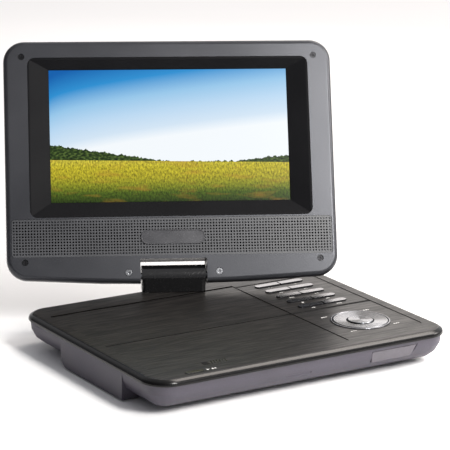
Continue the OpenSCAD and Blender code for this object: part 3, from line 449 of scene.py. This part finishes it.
def printed(marks, z, name, body, ink_finish):
    # Flat shapes in mm, seen from above, made into a film 0.02 mm thick
    ink = bmesh.new()
    for outline in marks:
        low = [ink.verts.new((x * MM, y * MM, z * MM)) for x, y in outline]
        face = ink.faces.new(low)
        face.normal_update()
        if face.normal.z < 0:
            face.normal_flip()
        raised = bmesh.ops.extrude_face_region(ink, geom=[face])
        for v in raised["geom"]:
            if isinstance(v, bmesh.types.BMVert):
                v.co.z += 0.02 * MM
    bmesh.ops.recalc_face_normals(ink, faces=ink.faces)
    mesh = bpy.data.meshes.new(name)
    ink.to_mesh(mesh)
    ink.free()
    return place_piece(name, mesh, body, ink_finish, slot="brushed_film")


def arrow(x, y, size, way=1):
    return [(x - way * size / 2, y - size * 0.55), (x + way * size / 2, y),
        (x - way * size / 2, y + size * 0.55)]


def bar(x, y, wide, high):
    return [(x - wide / 2, y - high / 2), (x + wide / 2, y - high / 2),
            (x + wide / 2, y + high / 2), (x - wide / 2, y + high / 2)]


# Pale grey pad-printing ink: dull, slightly broken at its edges
pad_ink = moulded_plastic("pale_pad_ink", "#b9b8b6", "#dbdad7", 0.6, 0.4, 0.005, 3.0)
key_box = [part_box("key_%d_%s" % (row, side)) for row in range(1, 6) for side in ("left", "right")]
marks = []
for i, (low, high) in enumerate(key_box):
    cx, y = (low.x + high.x) / 2 / MM, low.y / MM - 1.6
    kind = i % 5
    if kind == 0:
        marks += [arrow(cx - 0.8, y, 1.3), bar(cx + 0.7, y, 0.45, 1.4)]
    elif kind == 1:
        marks += [bar(cx, y, 1.4, 1.4)]
    elif kind == 2:
        marks += [arrow(cx - 0.8, y, 1.3, -1), arrow(cx + 0.6, y, 1.3, -1)]
    elif kind == 3:
        marks += [arrow(cx - 0.6, y, 1.3), arrow(cx + 0.8, y, 1.3)]
    else:
        marks += [bar(cx - 1.2, y, 0.9, 1.1), bar(cx + 0.1, y, 0.9, 1.1),
            bar(cx + 1.4, y, 0.9, 1.1)]
pad_low, pad_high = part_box("dpad_frame")
pad_x, pad_y = (pad_low.x + pad_high.x) / 2 / MM, (pad_low.y + pad_high.y) / 2 / MM
mark_reach = 22.6
for turn in (45, 135, 225, 315):
    cx = pad_x + mark_reach * math.cos(math.radians(turn))
    cy = pad_y + mark_reach * math.sin(math.radians(turn))
    marks += [bar(cx - 1.6, cy, 1.1, 1.1), bar(cx, cy, 1.1, 1.1), arrow(cx + 1.7, cy, 1.2)]
film_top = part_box("control_plate")[1].z / MM
printed(marks, film_top, "control_marks", "base", pad_ink)

open_low, open_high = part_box("open_button")
open_x, open_y = (open_low.x + open_high.x) / 2 / MM, (open_low.y + open_high.y) / 2 / MM
marks = [arrow(open_x + 9.4, open_y, 2.0), bar(open_x + 12.4, open_y, 1.2, 1.4),
    bar(open_x + 14.2, open_y, 1.2, 1.4)]
printed(marks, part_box("top_case")[1].z / MM, "open_marks", "base", pad_ink)

# Six thin ribs on the lid, printed in gloss black, give the finger a hold
gloss_ink = moulded_plastic("gloss_black_pad_ink", "#060606", "#0d0d0d", 0.25, 0.4, 0.005, 3.0)
lid_low, lid_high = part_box("disc_lid")
rib_x, rib_pitch, rib_half, rib_lean = open_x + 17.4, 1.9, 0.5, 1.8
rib_front, rib_back = lid_low.y / MM + 2.8, lid_low.y / MM + 8.4
ribs = []
for x in (rib_x + rib_pitch * k for k in range(6)):
    ribs.append([(x - rib_half, rib_front), (x + rib_half, rib_front),
                 (x + rib_lean + rib_half, rib_back), (x + rib_lean - rib_half, rib_back)])
printed(ribs, lid_high.z / MM, "lid_grip_ribs", "lid", gloss_ink)


# ---------------------------------------------------------------- keys
# Ten moulded keys with satin chrome plating, pairs that share one long slot
# in the plate. Each one rides on its own spring and presses a dome switch.

# Satin chrome over ABS: mirror-like but milky, with faint polishing marks
satin_chrome = drawn_metal("satin_chrome_plating", "#5c5d61", "#808185", 0.2, 0.5, 0, 12.0, 0.003)
for row in range(1, 6):
    for side in ("left", "right"):
        rolled_edges("key_%d_%s" % (row, side), 0.42, satin_chrome,
            "plated_key_%d_%s" % (row, side),
                     keep=40, smooth=45, steps=3)
# The open button is gloss black ABS, almost lost against the film
button_black = moulded_plastic("gloss_black_button_abs", "#0c0c0d", "#151516", 0.22, 0.5, 0.004,
    12.0)
rolled_edges("open_button", 0.35, button_black, "open_push_button", keep=40, smooth=45, steps=3)


# ---------------------------------------------------------------- direction pad
# Turned aluminium skins on moulded carriers: a fixed outer ring, a rocking
# direction ring and a dished centre button, all cut on a lathe.

def turned_metal_painted_reflection(name, dark, light, rough, cut):
    # Lathe-turned face: rings cut mm apart as a bump, and light and dark
    # sectors painted into the colour by angle round the pad: painted reflection
    finish, tree, skin, place = start_finish(name)
    centred = add(tree, "ShaderNodeMapping", {}, {
        "Vector": place, "Location": (-pad_x * MM, -pad_y * MM, 0)})
    parts = add(tree, "ShaderNodeSeparateXYZ", {}, {"Vector": centred.outputs[0]})
    flat = add(tree, "ShaderNodeCombineXYZ", {}, {"X": parts.outputs["X"], "Y": parts.outputs["Y"]})
    reach = add(tree, "ShaderNodeVectorMath", {"operation": "LENGTH"}, {0: flat.outputs[0]})
    turns = add(tree, "ShaderNodeMath", {"operation": "MULTIPLY"}, {
        0: reach.outputs["Value"], 1: 2 * math.pi / (cut * MM)})
    rings = add(tree, "ShaderNodeMath", {"operation": "SINE"}, {0: turns.outputs[0]})
    angle = add(tree, "ShaderNodeMath", {"operation": "ARCTAN2"}, {
        0: parts.outputs["Y"], 1: parts.outputs["X"]})
    twice = add(tree, "ShaderNodeMath", {"operation": "MULTIPLY_ADD"},
        {0: angle.outputs[0], 1: 2.0, 2: 4.0})
    painted_reflection_fan = add(tree, "ShaderNodeMath", {"operation": "SINE"}, {0: twice.outputs[0]})
    third = add(tree, "ShaderNodeMath", {"operation": "MULTIPLY_ADD"},
        {0: angle.outputs[0], 1: 5.0, 2: 0.3})
    painted_reflection_ripple = add(tree, "ShaderNodeMath", {"operation": "SINE"}, {0: third.outputs[0]})
    painted_reflection_mix = add(tree, "ShaderNodeMath", {"operation": "MULTIPLY_ADD"}, {
        0: painted_reflection_ripple.outputs[0], 1: 0.35, 2: painted_reflection_fan.outputs[0]})
    tone = add(tree, "ShaderNodeMapRange", {"interpolation_type": "SMOOTHSTEP"}, {
        "Value": painted_reflection_mix.outputs[0], "From Min": -1.1, "From Max": 1.1})
    # Painted reflection: the colour runs from dark to light by angle round the pad's centre,
    # standing in for the sheen that spun rings throw
    colour = add(tree, "ShaderNodeMix", {"data_type": "RGBA"}, {
        0: tone.outputs[0], 6: linear(dark), 7: linear(light)})
    bump = add(tree, "ShaderNodeBump", {}, {
        "Strength": 0.5, "Distance": 0.03 * MM, "Height": rings.outputs[0]})
    tree.links.new(colour.outputs[2], skin.inputs["Base Color"])
    tree.links.new(bump.outputs[0], skin.inputs["Normal"])
    skin.inputs["Metallic"].default_value = 1.0
    skin.inputs["Roughness"].default_value = rough
    return finish


# The pad's spun finish carries painted reflection sectors in its colour
spun_ring = turned_metal_painted_reflection("spun_aluminium_painted_reflection", "#36373a", "#8e9094", 0.24, 0.7)
rolled_edges("dpad_frame", 0.15, satin_chrome, "pad_outer_ring", keep=24, smooth=50)
rolled_edges("dpad_ring", 0.2, spun_ring, "pad_direction_ring", keep=24, smooth=20)
rolled_edges("ok_button", 0.25, spun_ring, "pad_centre_button", keep=24, smooth=20)


# ---------------------------------------------------------------- disc drive
# Moulded well with a sprung spindle hub, and under it a pressed steel tray on
# rubber dampers with the laser sled, its polished rails and its lead screw.

# Matt black ABS of the well
well_abs = moulded_plastic("matt_black_abs", "#18181a", "#29292c", 0.55, 0.5, 0.03, 25.0)
coat_nodes(well_abs, "deck_plate", "speakers", "block_cap")
# Zinc-plated pressed steel: grey, with rolling marks along the strip
pressed_steel = drawn_metal("zinc_plated_pressed_steel", "#74777c", "#a2a5aa", 0.36, 0.4, 0, 25.0)
coat_nodes(pressed_steel, "mech_chassis", "spindle_motor", "sled_motor", "rotor", "pickup_sled",
           "hinge_plate", "swivel_clip")
# Ground and polished rod
ground_rod = drawn_metal("ground_polished_steel", "#a8abb0", "#d9dbde", 0.16, 0.2, 1, 30.0)
coat_nodes(ground_rod, "sled_rails", "lead_screw", "swivel_shaft", "tilt_shafts", "dome_switches")
coat_nodes(foot_rubber, "dampers")
# Coated plastic lens: clear, with a violet-blue coating
lens_coat = moulded_plastic("coated_pickup_lens", "#36507e", "#5b7bb0", 0.06, 2.0, 0.001, 6.0,
                            {"Coat Weight": 1.0})
coat_nodes(lens_coat, "pickup_lens")


# ---------------------------------------------------------------- boards and battery
# Glass-epoxy boards under green solder mask and a wrapped lithium pack. They
# are inside the case and only show through the gaps.

# Solder mask over copper tracks: glossy green, tracks 0.8 mm apart
solder_mask, t, skin, place = start_finish("green_solder_mask")
tracks = add(t, "ShaderNodeTexBrick", {"offset": 0.5}, {
    "Vector": place, "Scale": 1 / (8.0 * MM), "Color1": linear("#1a5f3c"),
    "Color2": linear("#20704a"),
    "Mortar": linear("#3a8a5c"), "Mortar Size": 0.03})
t.links.new(tracks.outputs["Color"], skin.inputs["Base Color"])
lift = add(t, "ShaderNodeBump", {},
    {"Strength": 0.4, "Distance": 0.03 * MM, "Height": tracks.outputs["Fac"]})
t.links.new(lift.outputs[0], skin.inputs["Normal"])
skin.inputs["Roughness"].default_value = 0.35
coat_nodes(solder_mask, "main_board", "key_board", "lcd_board")
# Heat-shrink film: blue, glossy, softly wrinkled
shrink_film = moulded_plastic("blue_heat_shrink", "#24364f", "#3a5274", 0.3, 2.5, 0.1, 15.0)
coat_nodes(shrink_film, "battery_pack")


# ---------------------------------------------------------------- swivel hinge block
# Glossy black ABS shell over the torque hinges. It turns on a hollow steel
# post, and the screen tilts on two short shafts that leave its ends.

# Gloss black ABS: a mirror-black skin with hair-fine handling scratches
gloss_abs, t, skin, place = start_finish("gloss_black_abs")
rubbed = add(t, "ShaderNodeMapping", {}, {
    "Vector": place, "Rotation": (0.3, 0.2, 0.5),
    "Scale": (1 / (22 * MM), 1 / (0.5 * MM), 1 / (2 * MM))})
hairs = add(t, "ShaderNodeTexNoise", {}, {"Vector": rubbed.outputs[0], "Scale": 1.0, "Detail": 2.0})
haze = add(t, "ShaderNodeMapRange", {}, {
    "Value": hairs.outputs[0], "From Min": 0.55, "From Max": 0.75, "To Min": 0.2, "To Max": 0.32})
depth = add(t, "ShaderNodeMix", {"data_type": "RGBA"}, {
    0: hairs.outputs[0], 6: linear("#0a0a0b"), 7: linear("#161617")})
t.links.new(haze.outputs[0], skin.inputs["Roughness"])
t.links.new(depth.outputs[2], skin.inputs["Base Color"])
skin.inputs["Coat Weight"].default_value = 0.15
skin.inputs["Coat Roughness"].default_value = 0.1
rolled_edges("hinge_block", 0.5, gloss_abs, "hinge_block_shell", keep=30, smooth=30, steps=3)


# ---------------------------------------------------------------- screen housing
# Two ABS halves, the front one in satin metallic grey paint and the rear one
# in textured black, clamped on the display by six screws.

swing = math.radians(-26)
lean = math.radians(-24)
tilt = next(j for j in frame["record"]["behaviour"]["joints"] if j["name"] == "screen_tilt")
screen_place = (Matrix.Translation(tilt["pos_m"])
                @ Matrix.Rotation(swing, 4, "Z") @ Matrix.Rotation(lean, 4, "X"))

# Satin metallic grey: fine flake under a satin clear coat
satin_grey = moulded_plastic("satin_metallic_grey", "#35363a", "#3e3f43", 0.36, 0.5, 0.02, 60.0,
                             {"Metallic": 0.55})
rolled_edges("front_housing", 0.45, satin_grey, "screen_front_shell", keep=32, smooth=36)
# Textured black ABS with a soft sheen
black_abs = moulded_plastic("textured_black_abs", "#1c1b1d", "#2a292c", 0.48, 0.55, 0.05, 50.0)
rolled_edges("rear_cover", 0.4, black_abs, "screen_rear_shell", keep=32, smooth=36)
# Satin black ABS of the surround: deep black, the tool only half polished
satin_black = moulded_plastic("satin_black_abs", "#0d0d0f", "#121214", 0.6, 0.6, 0.006, 30.0,
                              {"Specular IOR Level": 0.08})
rolled_edges("display_frame", 0.3, satin_black, "display_surround", keep=20, smooth=24)

# Blackened steel screws in the corners and bright ones beside the hinge
blackened = drawn_metal("blackened_steel", "#1b1b1c", "#39393b", 0.38, 0.4, 0, 3.0)
rolled_edges("front_screws", 0.12, blackened, "corner_screw_set", keep=40)
bright_steel = drawn_metal("nickel_plated_steel", "#65666a", "#909194", 0.3, 0.4, 0, 3.0, 0.004)
rolled_edges("hinge_screws", 0.14, bright_steel, "hinge_screw_set", keep=40)


# ---------------------------------------------------------------- display panel
# A 7 inch panel in the surround. It shows a plain country view: sky, a line of
# trees and a meadow, laid out on the panel's own picture coordinates.

# Picture width and height, its middle above the tilt axis, and its face, in mm
wide, high, middle, face_y = 154.08, 86.58, 91.0, -3.3
# Edge of the panel: black polarising film, glossy and smooth
polariser = moulded_plastic("polarising_film", "#0a0a0c", "#121215", 0.2, 1.0, 0.002, 20.0)
coat_nodes(polariser, "lcd_panel")

glow = bpy.data.materials.new("lit_display_picture")
glow.use_nodes = True
t = glow.node_tree
t.nodes.clear()
skin = add(t, "ShaderNodeBsdfPrincipled")
add(t, "ShaderNodeOutputMaterial", {}, {"Surface": skin.outputs[0]})
own = add(t, "ShaderNodeUVMap", {"uv_map": "picture"}).outputs[0]
parts = add(t, "ShaderNodeSeparateXYZ", {}, {"Vector": own})
u, v = parts.outputs["X"], parts.outputs["Y"]


def blend_stops(tree, value, stops):
    # Colour along a value, from (position, hex) stops
    ramp = add(tree, "ShaderNodeValToRGB", {}, {"Fac": value})
    bar_of = ramp.color_ramp.elements
    while len(bar_of) < len(stops):
        bar_of.new(1.0)
    for stop, (where, code) in zip(bar_of, stops):
        stop.position = where
    for stop, (where, code) in zip(bar_of, stops):
        stop.color = linear(code)
    return ramp.outputs["Color"]


def rough_edge(tree, across, tall, vector):
    # Ragged height, up to `tall` of the picture, with `across` bumps
    ragged = add(tree, "ShaderNodeTexNoise", {}, {
        "Vector": vector, "Scale": across, "Detail": 4.0, "Roughness": 0.7})
    return add(tree, "ShaderNodeMapRange", {"clamp": False}, {
        "Value": ragged.outputs[0], "From Min": 0.3, "From Max": 0.7,
        "To Min": -tall, "To Max": tall}).outputs[0]


root = add(t, "ShaderNodeMath", {"operation": "POWER"}, {0: u, 1: 0.6})
fall = add(t, "ShaderNodeMath", {"operation": "MULTIPLY"}, {0: root.outputs[0], 1: -0.42})
rise = add(t, "ShaderNodeMapRange", {}, {"Value": v, "From Min": 0.3, "From Max": 1.0})
air = add(t, "ShaderNodeMath", {"operation": "ADD", "use_clamp": True},
    {0: rise.outputs[0], 1: fall.outputs[0]})
heaven = blend_stops(t, air.outputs[0], [
    (0.0, "#f3f8fc"), (0.12, "#d2e4f4"), (0.3, "#bad8f1"), (0.48, "#96c6e9"), (0.68, "#2a8ed0"),
    (0.9, "#0a5fac")])

flat_u = add(t, "ShaderNodeCombineXYZ", {}, {"X": u})
leafy = rough_edge(t, 38.0, 0.016, flat_u.outputs[0])
left_trees = add(t, "ShaderNodeMapRange", {}, {
    "Value": u, "From Min": 0.0, "From Max": 0.5, "To Min": 0.435, "To Max": 0.3})
right_trees = add(t, "ShaderNodeMapRange", {"interpolation_type": "SMOOTHSTEP"}, {
    "Value": u, "From Min": 0.76, "From Max": 0.98, "To Min": 0.0, "To Max": 0.035})
crown = add(t, "ShaderNodeMath", {"operation": "ADD"},
    {0: left_trees.outputs[0], 1: right_trees.outputs[0]})
crown = add(t, "ShaderNodeMath", {"operation": "ADD"}, {0: crown.outputs[0], 1: leafy})
in_trees = add(t, "ShaderNodeMath", {"operation": "LESS_THAN"}, {0: v, 1: crown.outputs[0]})
leaves = add(t, "ShaderNodeTexNoise", {}, {"Vector": own, "Scale": 75.0, "Detail": 3.0})
tree_tone = blend_stops(t, leaves.outputs[0],
    [(0.35, "#16240f"), (0.5, "#2c4019"), (0.66, "#5a7034")])
with_trees = add(t, "ShaderNodeMix", {"data_type": "RGBA"},
    {0: in_trees.outputs[0], 6: heaven, 7: tree_tone})

ground = add(t, "ShaderNodeMapRange", {}, {
    "Value": u, "From Min": 0.0, "From Max": 1.0, "To Min": 0.322, "To Max": 0.285})
in_meadow = add(t, "ShaderNodeMath", {"operation": "LESS_THAN"}, {0: v, 1: ground.outputs[0]})
stems = add(t, "ShaderNodeMapping", {},
    {"Vector": own, "Rotation": (0, 0, 0.4), "Scale": (150.0, 44.0, 1.0)})
grass = add(t, "ShaderNodeTexNoise", {},
    {"Vector": stems.outputs[0], "Scale": 1.0, "Detail": 4.0, "Roughness": 0.75})
patch = add(t, "ShaderNodeMapping", {}, {"Vector": own, "Scale": (6.0, 15.0, 1.0)})
drifts = add(t, "ShaderNodeTexNoise", {}, {"Vector": patch.outputs[0], "Scale": 1.0, "Detail": 3.0})
nearness = blend_stops(t, v, [
    (0.0, "#2a3c10"), (0.07, "#4d621a"), (0.13, "#8c9024"), (0.19, "#b0a628"), (0.26, "#c2b52c"),
    (0.33, "#cdc044")])
blades = add(t, "ShaderNodeMapRange", {}, {
    "Value": grass.outputs[0], "From Min": 0.32, "From Max": 0.66, "To Min": 0.2, "To Max": 1.5})
lit = add(t, "ShaderNodeVectorMath", {"operation": "SCALE"},
    {0: nearness, "Scale": blades.outputs[0]})
rust = add(t, "ShaderNodeMapRange", {}, {
    "Value": drifts.outputs[0], "From Min": 0.52, "From Max": 0.75, "To Max": 0.55})
meadow = add(t, "ShaderNodeMix", {"data_type": "RGBA"}, {
    0: rust.outputs[0], 6: lit.outputs[0], 7: linear("#b5842f")})
picture = add(t, "ShaderNodeMix", {"data_type": "RGBA"}, {
    0: in_meadow.outputs[0], 6: with_trees.outputs[2], 7: meadow.outputs[2]})
t.links.new(picture.outputs[2], skin.inputs["Emission Color"])
skin.inputs["Emission Strength"].default_value = 1.0
skin.inputs["Base Color"].default_value = linear("#050506")
skin.inputs["Roughness"].default_value = 0.3
skin.inputs["Specular IOR Level"].default_value = 0.1

pane = bmesh.new()
bmesh.ops.create_cube(pane, size=1.0)
for vert in pane.verts:
    vert.co = Vector((vert.co.x * (wide - 0.1) * MM, (face_y + 0.26 * vert.co.y) * MM,
                      (middle + vert.co.z * (high - 0.1)) * MM))
bmesh.ops.bevel(pane, geom=pane.edges[:], offset=0.06 * MM, segments=1, affect="EDGES")
layer = pane.loops.layers.uv.new("picture")
for face in pane.faces:
    for loop in face.loops:
        loop[layer].uv = (loop.vert.co.x / (wide * MM) + 0.5,
            (loop.vert.co.z / MM - middle) / high + 0.5)
mesh = bpy.data.meshes.new("display_picture")
pane.to_mesh(mesh)
pane.free()
mesh.transform(screen_place)
place_piece("display_picture", mesh, "screen", glow, slot="display_panel")


# ---------------------------------------------------------------- speaker grille
# One moulded strip with a square grid of fine holes over its whole width, and
# black dust cloth behind it. The holes are left out under the badge.

def perforated_strip(name, across, tall, pitch, hole, thick, clear_x, clear_y, finish):
    # Geometry Nodes: one pierced tile on every point of a grid
    tile = bmesh.new()
    half, ring = pitch * MM / 2, []
    for level in (0.0, -thick * MM):
        square, round_ = [], []
        for k in range(8):
            a = math.radians(45 * k)
            c, s = math.cos(a), math.sin(a)
            reach = half / max(abs(c), abs(s))
            square.append(tile.verts.new((c * reach, s * reach, level)))
            round_.append(tile.verts.new((c * hole * MM, s * hole * MM, level)))
        ring.append((square, round_))
    for k in range(8):
        n = (k + 1) % 8
        (sq, ho), (sq2, ho2) = ring
        tile.faces.new((sq[k], sq[n], ho[n], ho[k]))
        tile.faces.new((sq2[n], sq2[k], ho2[k], ho2[n]))
        tile.faces.new((ho[k], ho[n], ho2[n], ho2[k]))
    cell_mesh = bpy.data.meshes.new("grille_tile")
    tile.to_mesh(cell_mesh)
    tile.free()
    cell = bpy.data.objects.new("grille_tile", cell_mesh)
    bpy.context.scene.collection.objects.link(cell)

    tree = bpy.data.node_groups.new("grille_perforation", "GeometryNodeTree")
    ids = {}
    for label, kind, value in (("Holes across", "NodeSocketInt", round(across / pitch)),
                               ("Hole rows", "NodeSocketInt", round(tall / pitch)),
                               ("Hole spacing", "NodeSocketFloat", pitch * MM),
                               ("Clear half width", "NodeSocketFloat", clear_x * MM),
                               ("Clear half height", "NodeSocketFloat", clear_y * MM),
                               ("Tile", "NodeSocketObject", cell),
                               ("Finish", "NodeSocketMaterial", finish)):
        ids[label] = (tree.interface.new_socket(name=label, in_out="INPUT",
            socket_type=kind).identifier, value)
    tree.interface.new_socket(name="Geometry", in_out="OUTPUT", socket_type="NodeSocketGeometry")
    given = add(tree, "NodeGroupInput").outputs
    span = []
    for count in ("Holes across", "Hole rows"):
        less = add(tree, "ShaderNodeMath", {"operation": "SUBTRACT"}, {0: given[count], 1: 1.0})
        span.append(add(tree, "ShaderNodeMath", {"operation": "MULTIPLY"}, {
            0: less.outputs[0], 1: given["Hole spacing"]}).outputs[0])
    points = add(tree, "GeometryNodeMeshGrid", {}, {
        "Size X": span[0], "Size Y": span[1],
        "Vertices X": given["Holes across"], "Vertices Y": given["Hole rows"]})
    spot = add(tree, "ShaderNodeSeparateXYZ", {}, {
        "Vector": add(tree, "GeometryNodeInputPosition").outputs[0]})
    near = []
    for axis, limit in (("X", "Clear half width"), ("Y", "Clear half height")):
        size = add(tree, "ShaderNodeMath", {"operation": "ABSOLUTE"}, {0: spot.outputs[axis]})
        near.append(add(tree, "ShaderNodeMath", {"operation": "LESS_THAN"}, {
            0: size.outputs[0], 1: given[limit]}).outputs[0])
    under = add(tree, "FunctionNodeBooleanMath", {"operation": "AND"}, {0: near[0], 1: near[1]})
    kept = add(tree, "GeometryNodeDeleteGeometry", {"domain": "POINT"}, {
        "Geometry": points.outputs["Mesh"], "Selection": under.outputs[0]})
    shape = add(tree, "GeometryNodeObjectInfo", {}, {"Object": given["Tile"]})
    tiles = add(tree, "GeometryNodeInstanceOnPoints", {}, {
        "Points": kept.outputs[0], "Instance": shape.outputs["Geometry"]})
    real = add(tree, "GeometryNodeRealizeInstances", {}, {"Geometry": tiles.outputs[0]})
    joined = add(tree, "GeometryNodeMergeByDistance", {},
        {"Geometry": real.outputs[0], "Distance": 0.01 * MM})
    done = add(tree, "GeometryNodeSetMaterial", {},
        {"Geometry": joined.outputs[0], "Material": given["Finish"]})
    add(tree, "NodeGroupOutput", {}, {"Geometry": done.outputs[0]})

    holder = bpy.data.objects.new(name, bpy.data.meshes.new("draft"))
    bpy.context.scene.collection.objects.link(holder)
    pierce = holder.modifiers.new("pierce", "NODES")
    pierce.node_group = tree
    for key, value in ids.values():
        pierce[key] = value
    made = bpy.data.meshes.new_from_object(
        holder.evaluated_get(bpy.context.evaluated_depsgraph_get()))
    bpy.data.objects.remove(holder)
    bpy.data.objects.remove(cell)
    # The rim and the place under the badge are closed between front and back
    strip = bmesh.new()
    strip.from_mesh(made)
    front_rim = [e for e in strip.edges if e.is_boundary
                 and e.verts[0].co.z > -1e-6 and e.verts[1].co.z > -1e-6]
    for edge in front_rim:
        pair = []
        for v in reversed(edge.verts):
            pair.append(strip.verts.new((v.co.x, v.co.y, -thick * MM)))
        strip.faces.new((edge.verts[0], edge.verts[1], pair[0], pair[1]))
    bmesh.ops.remove_doubles(strip, verts=strip.verts, dist=0.01 * MM)
    bmesh.ops.recalc_face_normals(strip, faces=strip.faces)
    strip.to_mesh(made)
    strip.free()
    return made


# The strip is moulded in the housing's colour but has no clear coat
grille_abs = moulded_plastic("moulded_grille_abs", "#36373a", "#404145", 0.42, 0.5, 0.02, 40.0)
# Its middle above the tilt axis and its face, the pierced field, and the holes
grille_mid, grille_face = 24.3, 7.7
field_wide, field_high, hole_pitch, hole_radius = 204.4, 22.5, 1.875, 0.62
upright = (screen_place @ Matrix.Translation((0, 0, grille_mid * MM))
           @ Matrix.Rotation(math.radians(90), 4, "X"))
mesh = perforated_strip("grille_strip", field_wide, field_high, hole_pitch, hole_radius, 1.0,
                        16.5, 3.6, grille_abs)
mesh.transform(Matrix.Translation((0, 0, grille_face * MM)))
mesh.transform(upright)
smooth_by_angle(mesh, 20)
place_piece("grille_strip", mesh, "screen", grille_abs, "speaker_grille")


def flat_ring(outer, inner, y_front, y_back):
    # A ring between two outlines with the same number of points, in mm
    ring = bmesh.new()
    rows = []
    for outline, y in ((outer, y_front + 0.15),
        ([(x * (1 - 0.15 / max(abs(x), 20)), z) for x, z in outer], y_front),
                       (inner, y_front), (inner, y_back), (outer, y_back)):
        rows.append([ring.verts.new((x * MM, z * MM, -y * MM)) for x, z in outline])
    count = len(outer)
    for a, b in zip(rows, rows[1:] + rows[:1]):
        for k in range(count):
            n = (k + 1) % count
            ring.faces.new((a[k], a[n], b[n], b[k]))
    bmesh.ops.remove_doubles(ring, verts=ring.verts, dist=0.002 * MM)
    bmesh.ops.recalc_face_normals(ring, faces=ring.faces)
    mesh = bpy.data.meshes.new("ring")
    ring.to_mesh(mesh)
    ring.free()
    return mesh


def round_outline(half_w, half_h, r, steps=8):
    outline = []
    for cx, cy, start in ((1, 1, 0), (-1, 1, 90), (-1, -1, 180), (1, -1, 270)):
        for k in range(steps + 1):
            a = math.radians(start + 90 * k / steps)
            outline.append((cx * (half_w - r) + r * math.cos(a),
                cy * (half_h - r) + r * math.sin(a)))
    return outline


rim = round_outline(102.7, 12.1, 1.9)
half_w, half_h = 102.18, field_high / 2
hole_edge = [(max(-half_w, min(half_w, x)), max(-half_h, min(half_h, z))) for x, z in rim]
mesh = flat_ring(rim, hole_edge, -grille_face, 1.0 - grille_face)
mesh.transform(upright)
smooth_by_angle(mesh, 30)
place_piece("grille_rim", mesh, "screen", grille_abs, slot="housing_plastic")

# Woven polyester dust cloth: dead black, plain weave of 0.3 mm yarns
dust_cloth, t, skin, place = start_finish("woven_dust_cloth")
weave = add(t, "ShaderNodeTexChecker", {}, {
    "Vector": place, "Scale": 1 / (0.3 * MM), "Color1": linear("#0b0b0c"),
    "Color2": linear("#171718")})
t.links.new(weave.outputs["Color"], skin.inputs["Base Color"])
skin.inputs["Roughness"].default_value = 0.95
cloth = round_outline(99.2, 9.3, 1.5)
middle_line = [(x * 0.5, z * 0.3) for x, z in cloth]
mesh = flat_ring(cloth, middle_line, -6.55, -6.35)
plug = bmesh.new()
plug.from_mesh(mesh)
bmesh.ops.holes_fill(plug, edges=[e for e in plug.edges if e.is_boundary])
inner_walls = [f for f in plug.faces
               if all(abs(v.co.x) < 48.5 * MM and abs(v.co.y) < 3 * MM for v in f.verts)]
bmesh.ops.delete(plug, geom=inner_walls, context="FACES")
bmesh.ops.holes_fill(plug, edges=[e for e in plug.edges if e.is_boundary])
bmesh.ops.recalc_face_normals(plug, faces=plug.faces)
plug.to_mesh(mesh)
plug.free()
mesh.transform(upright)
place_piece("dust_cloth", mesh, "screen", dust_cloth, slot="dark_plastic")


# ---------------------------------------------------------------- badge
# A blank pill-shaped boss with a raised rim in the middle of the grille,
# moulded with it and polished a little smoother.

# Polished moulding: the housing's grey, glossier and a shade darker
badge_abs = moulded_plastic("polished_badge_abs", "#38383b", "#3f3f43", 0.3, 0.8, 0.01, 15.0)
pill = bmesh.new()
levels = []
for inset, y in ((0.0, -6.9), (0.0, -8.05), (0.15, -8.2), (0.6, -8.2), (0.8, -8.0), (1.6, -8.0)):
    outline = round_outline(20.7 - inset, 4.7 - inset, 4.69 - inset, 14)
    levels.append([pill.verts.new((x * MM, z * MM, -y * MM)) for x, z in outline])
for a, b in zip(levels, levels[1:]):
    for k in range(len(a)):
        n = (k + 1) % len(a)
        pill.faces.new((a[k], a[n], b[n], b[k]))
pill.faces.new(levels[-1])
pill.faces.new(list(reversed(levels[0])))
bmesh.ops.remove_doubles(pill, verts=pill.verts, dist=0.002 * MM)
bmesh.ops.recalc_face_normals(pill, faces=pill.faces)
mesh = bpy.data.meshes.new("badge_boss")
pill.to_mesh(mesh)
pill.free()
mesh.transform(upright @ Matrix.Translation((0, -0.2 * MM, 0)))
smooth_by_angle(mesh, 30)
place_piece("badge_boss", mesh, "screen", badge_abs, "badge", slot="badge_metal")
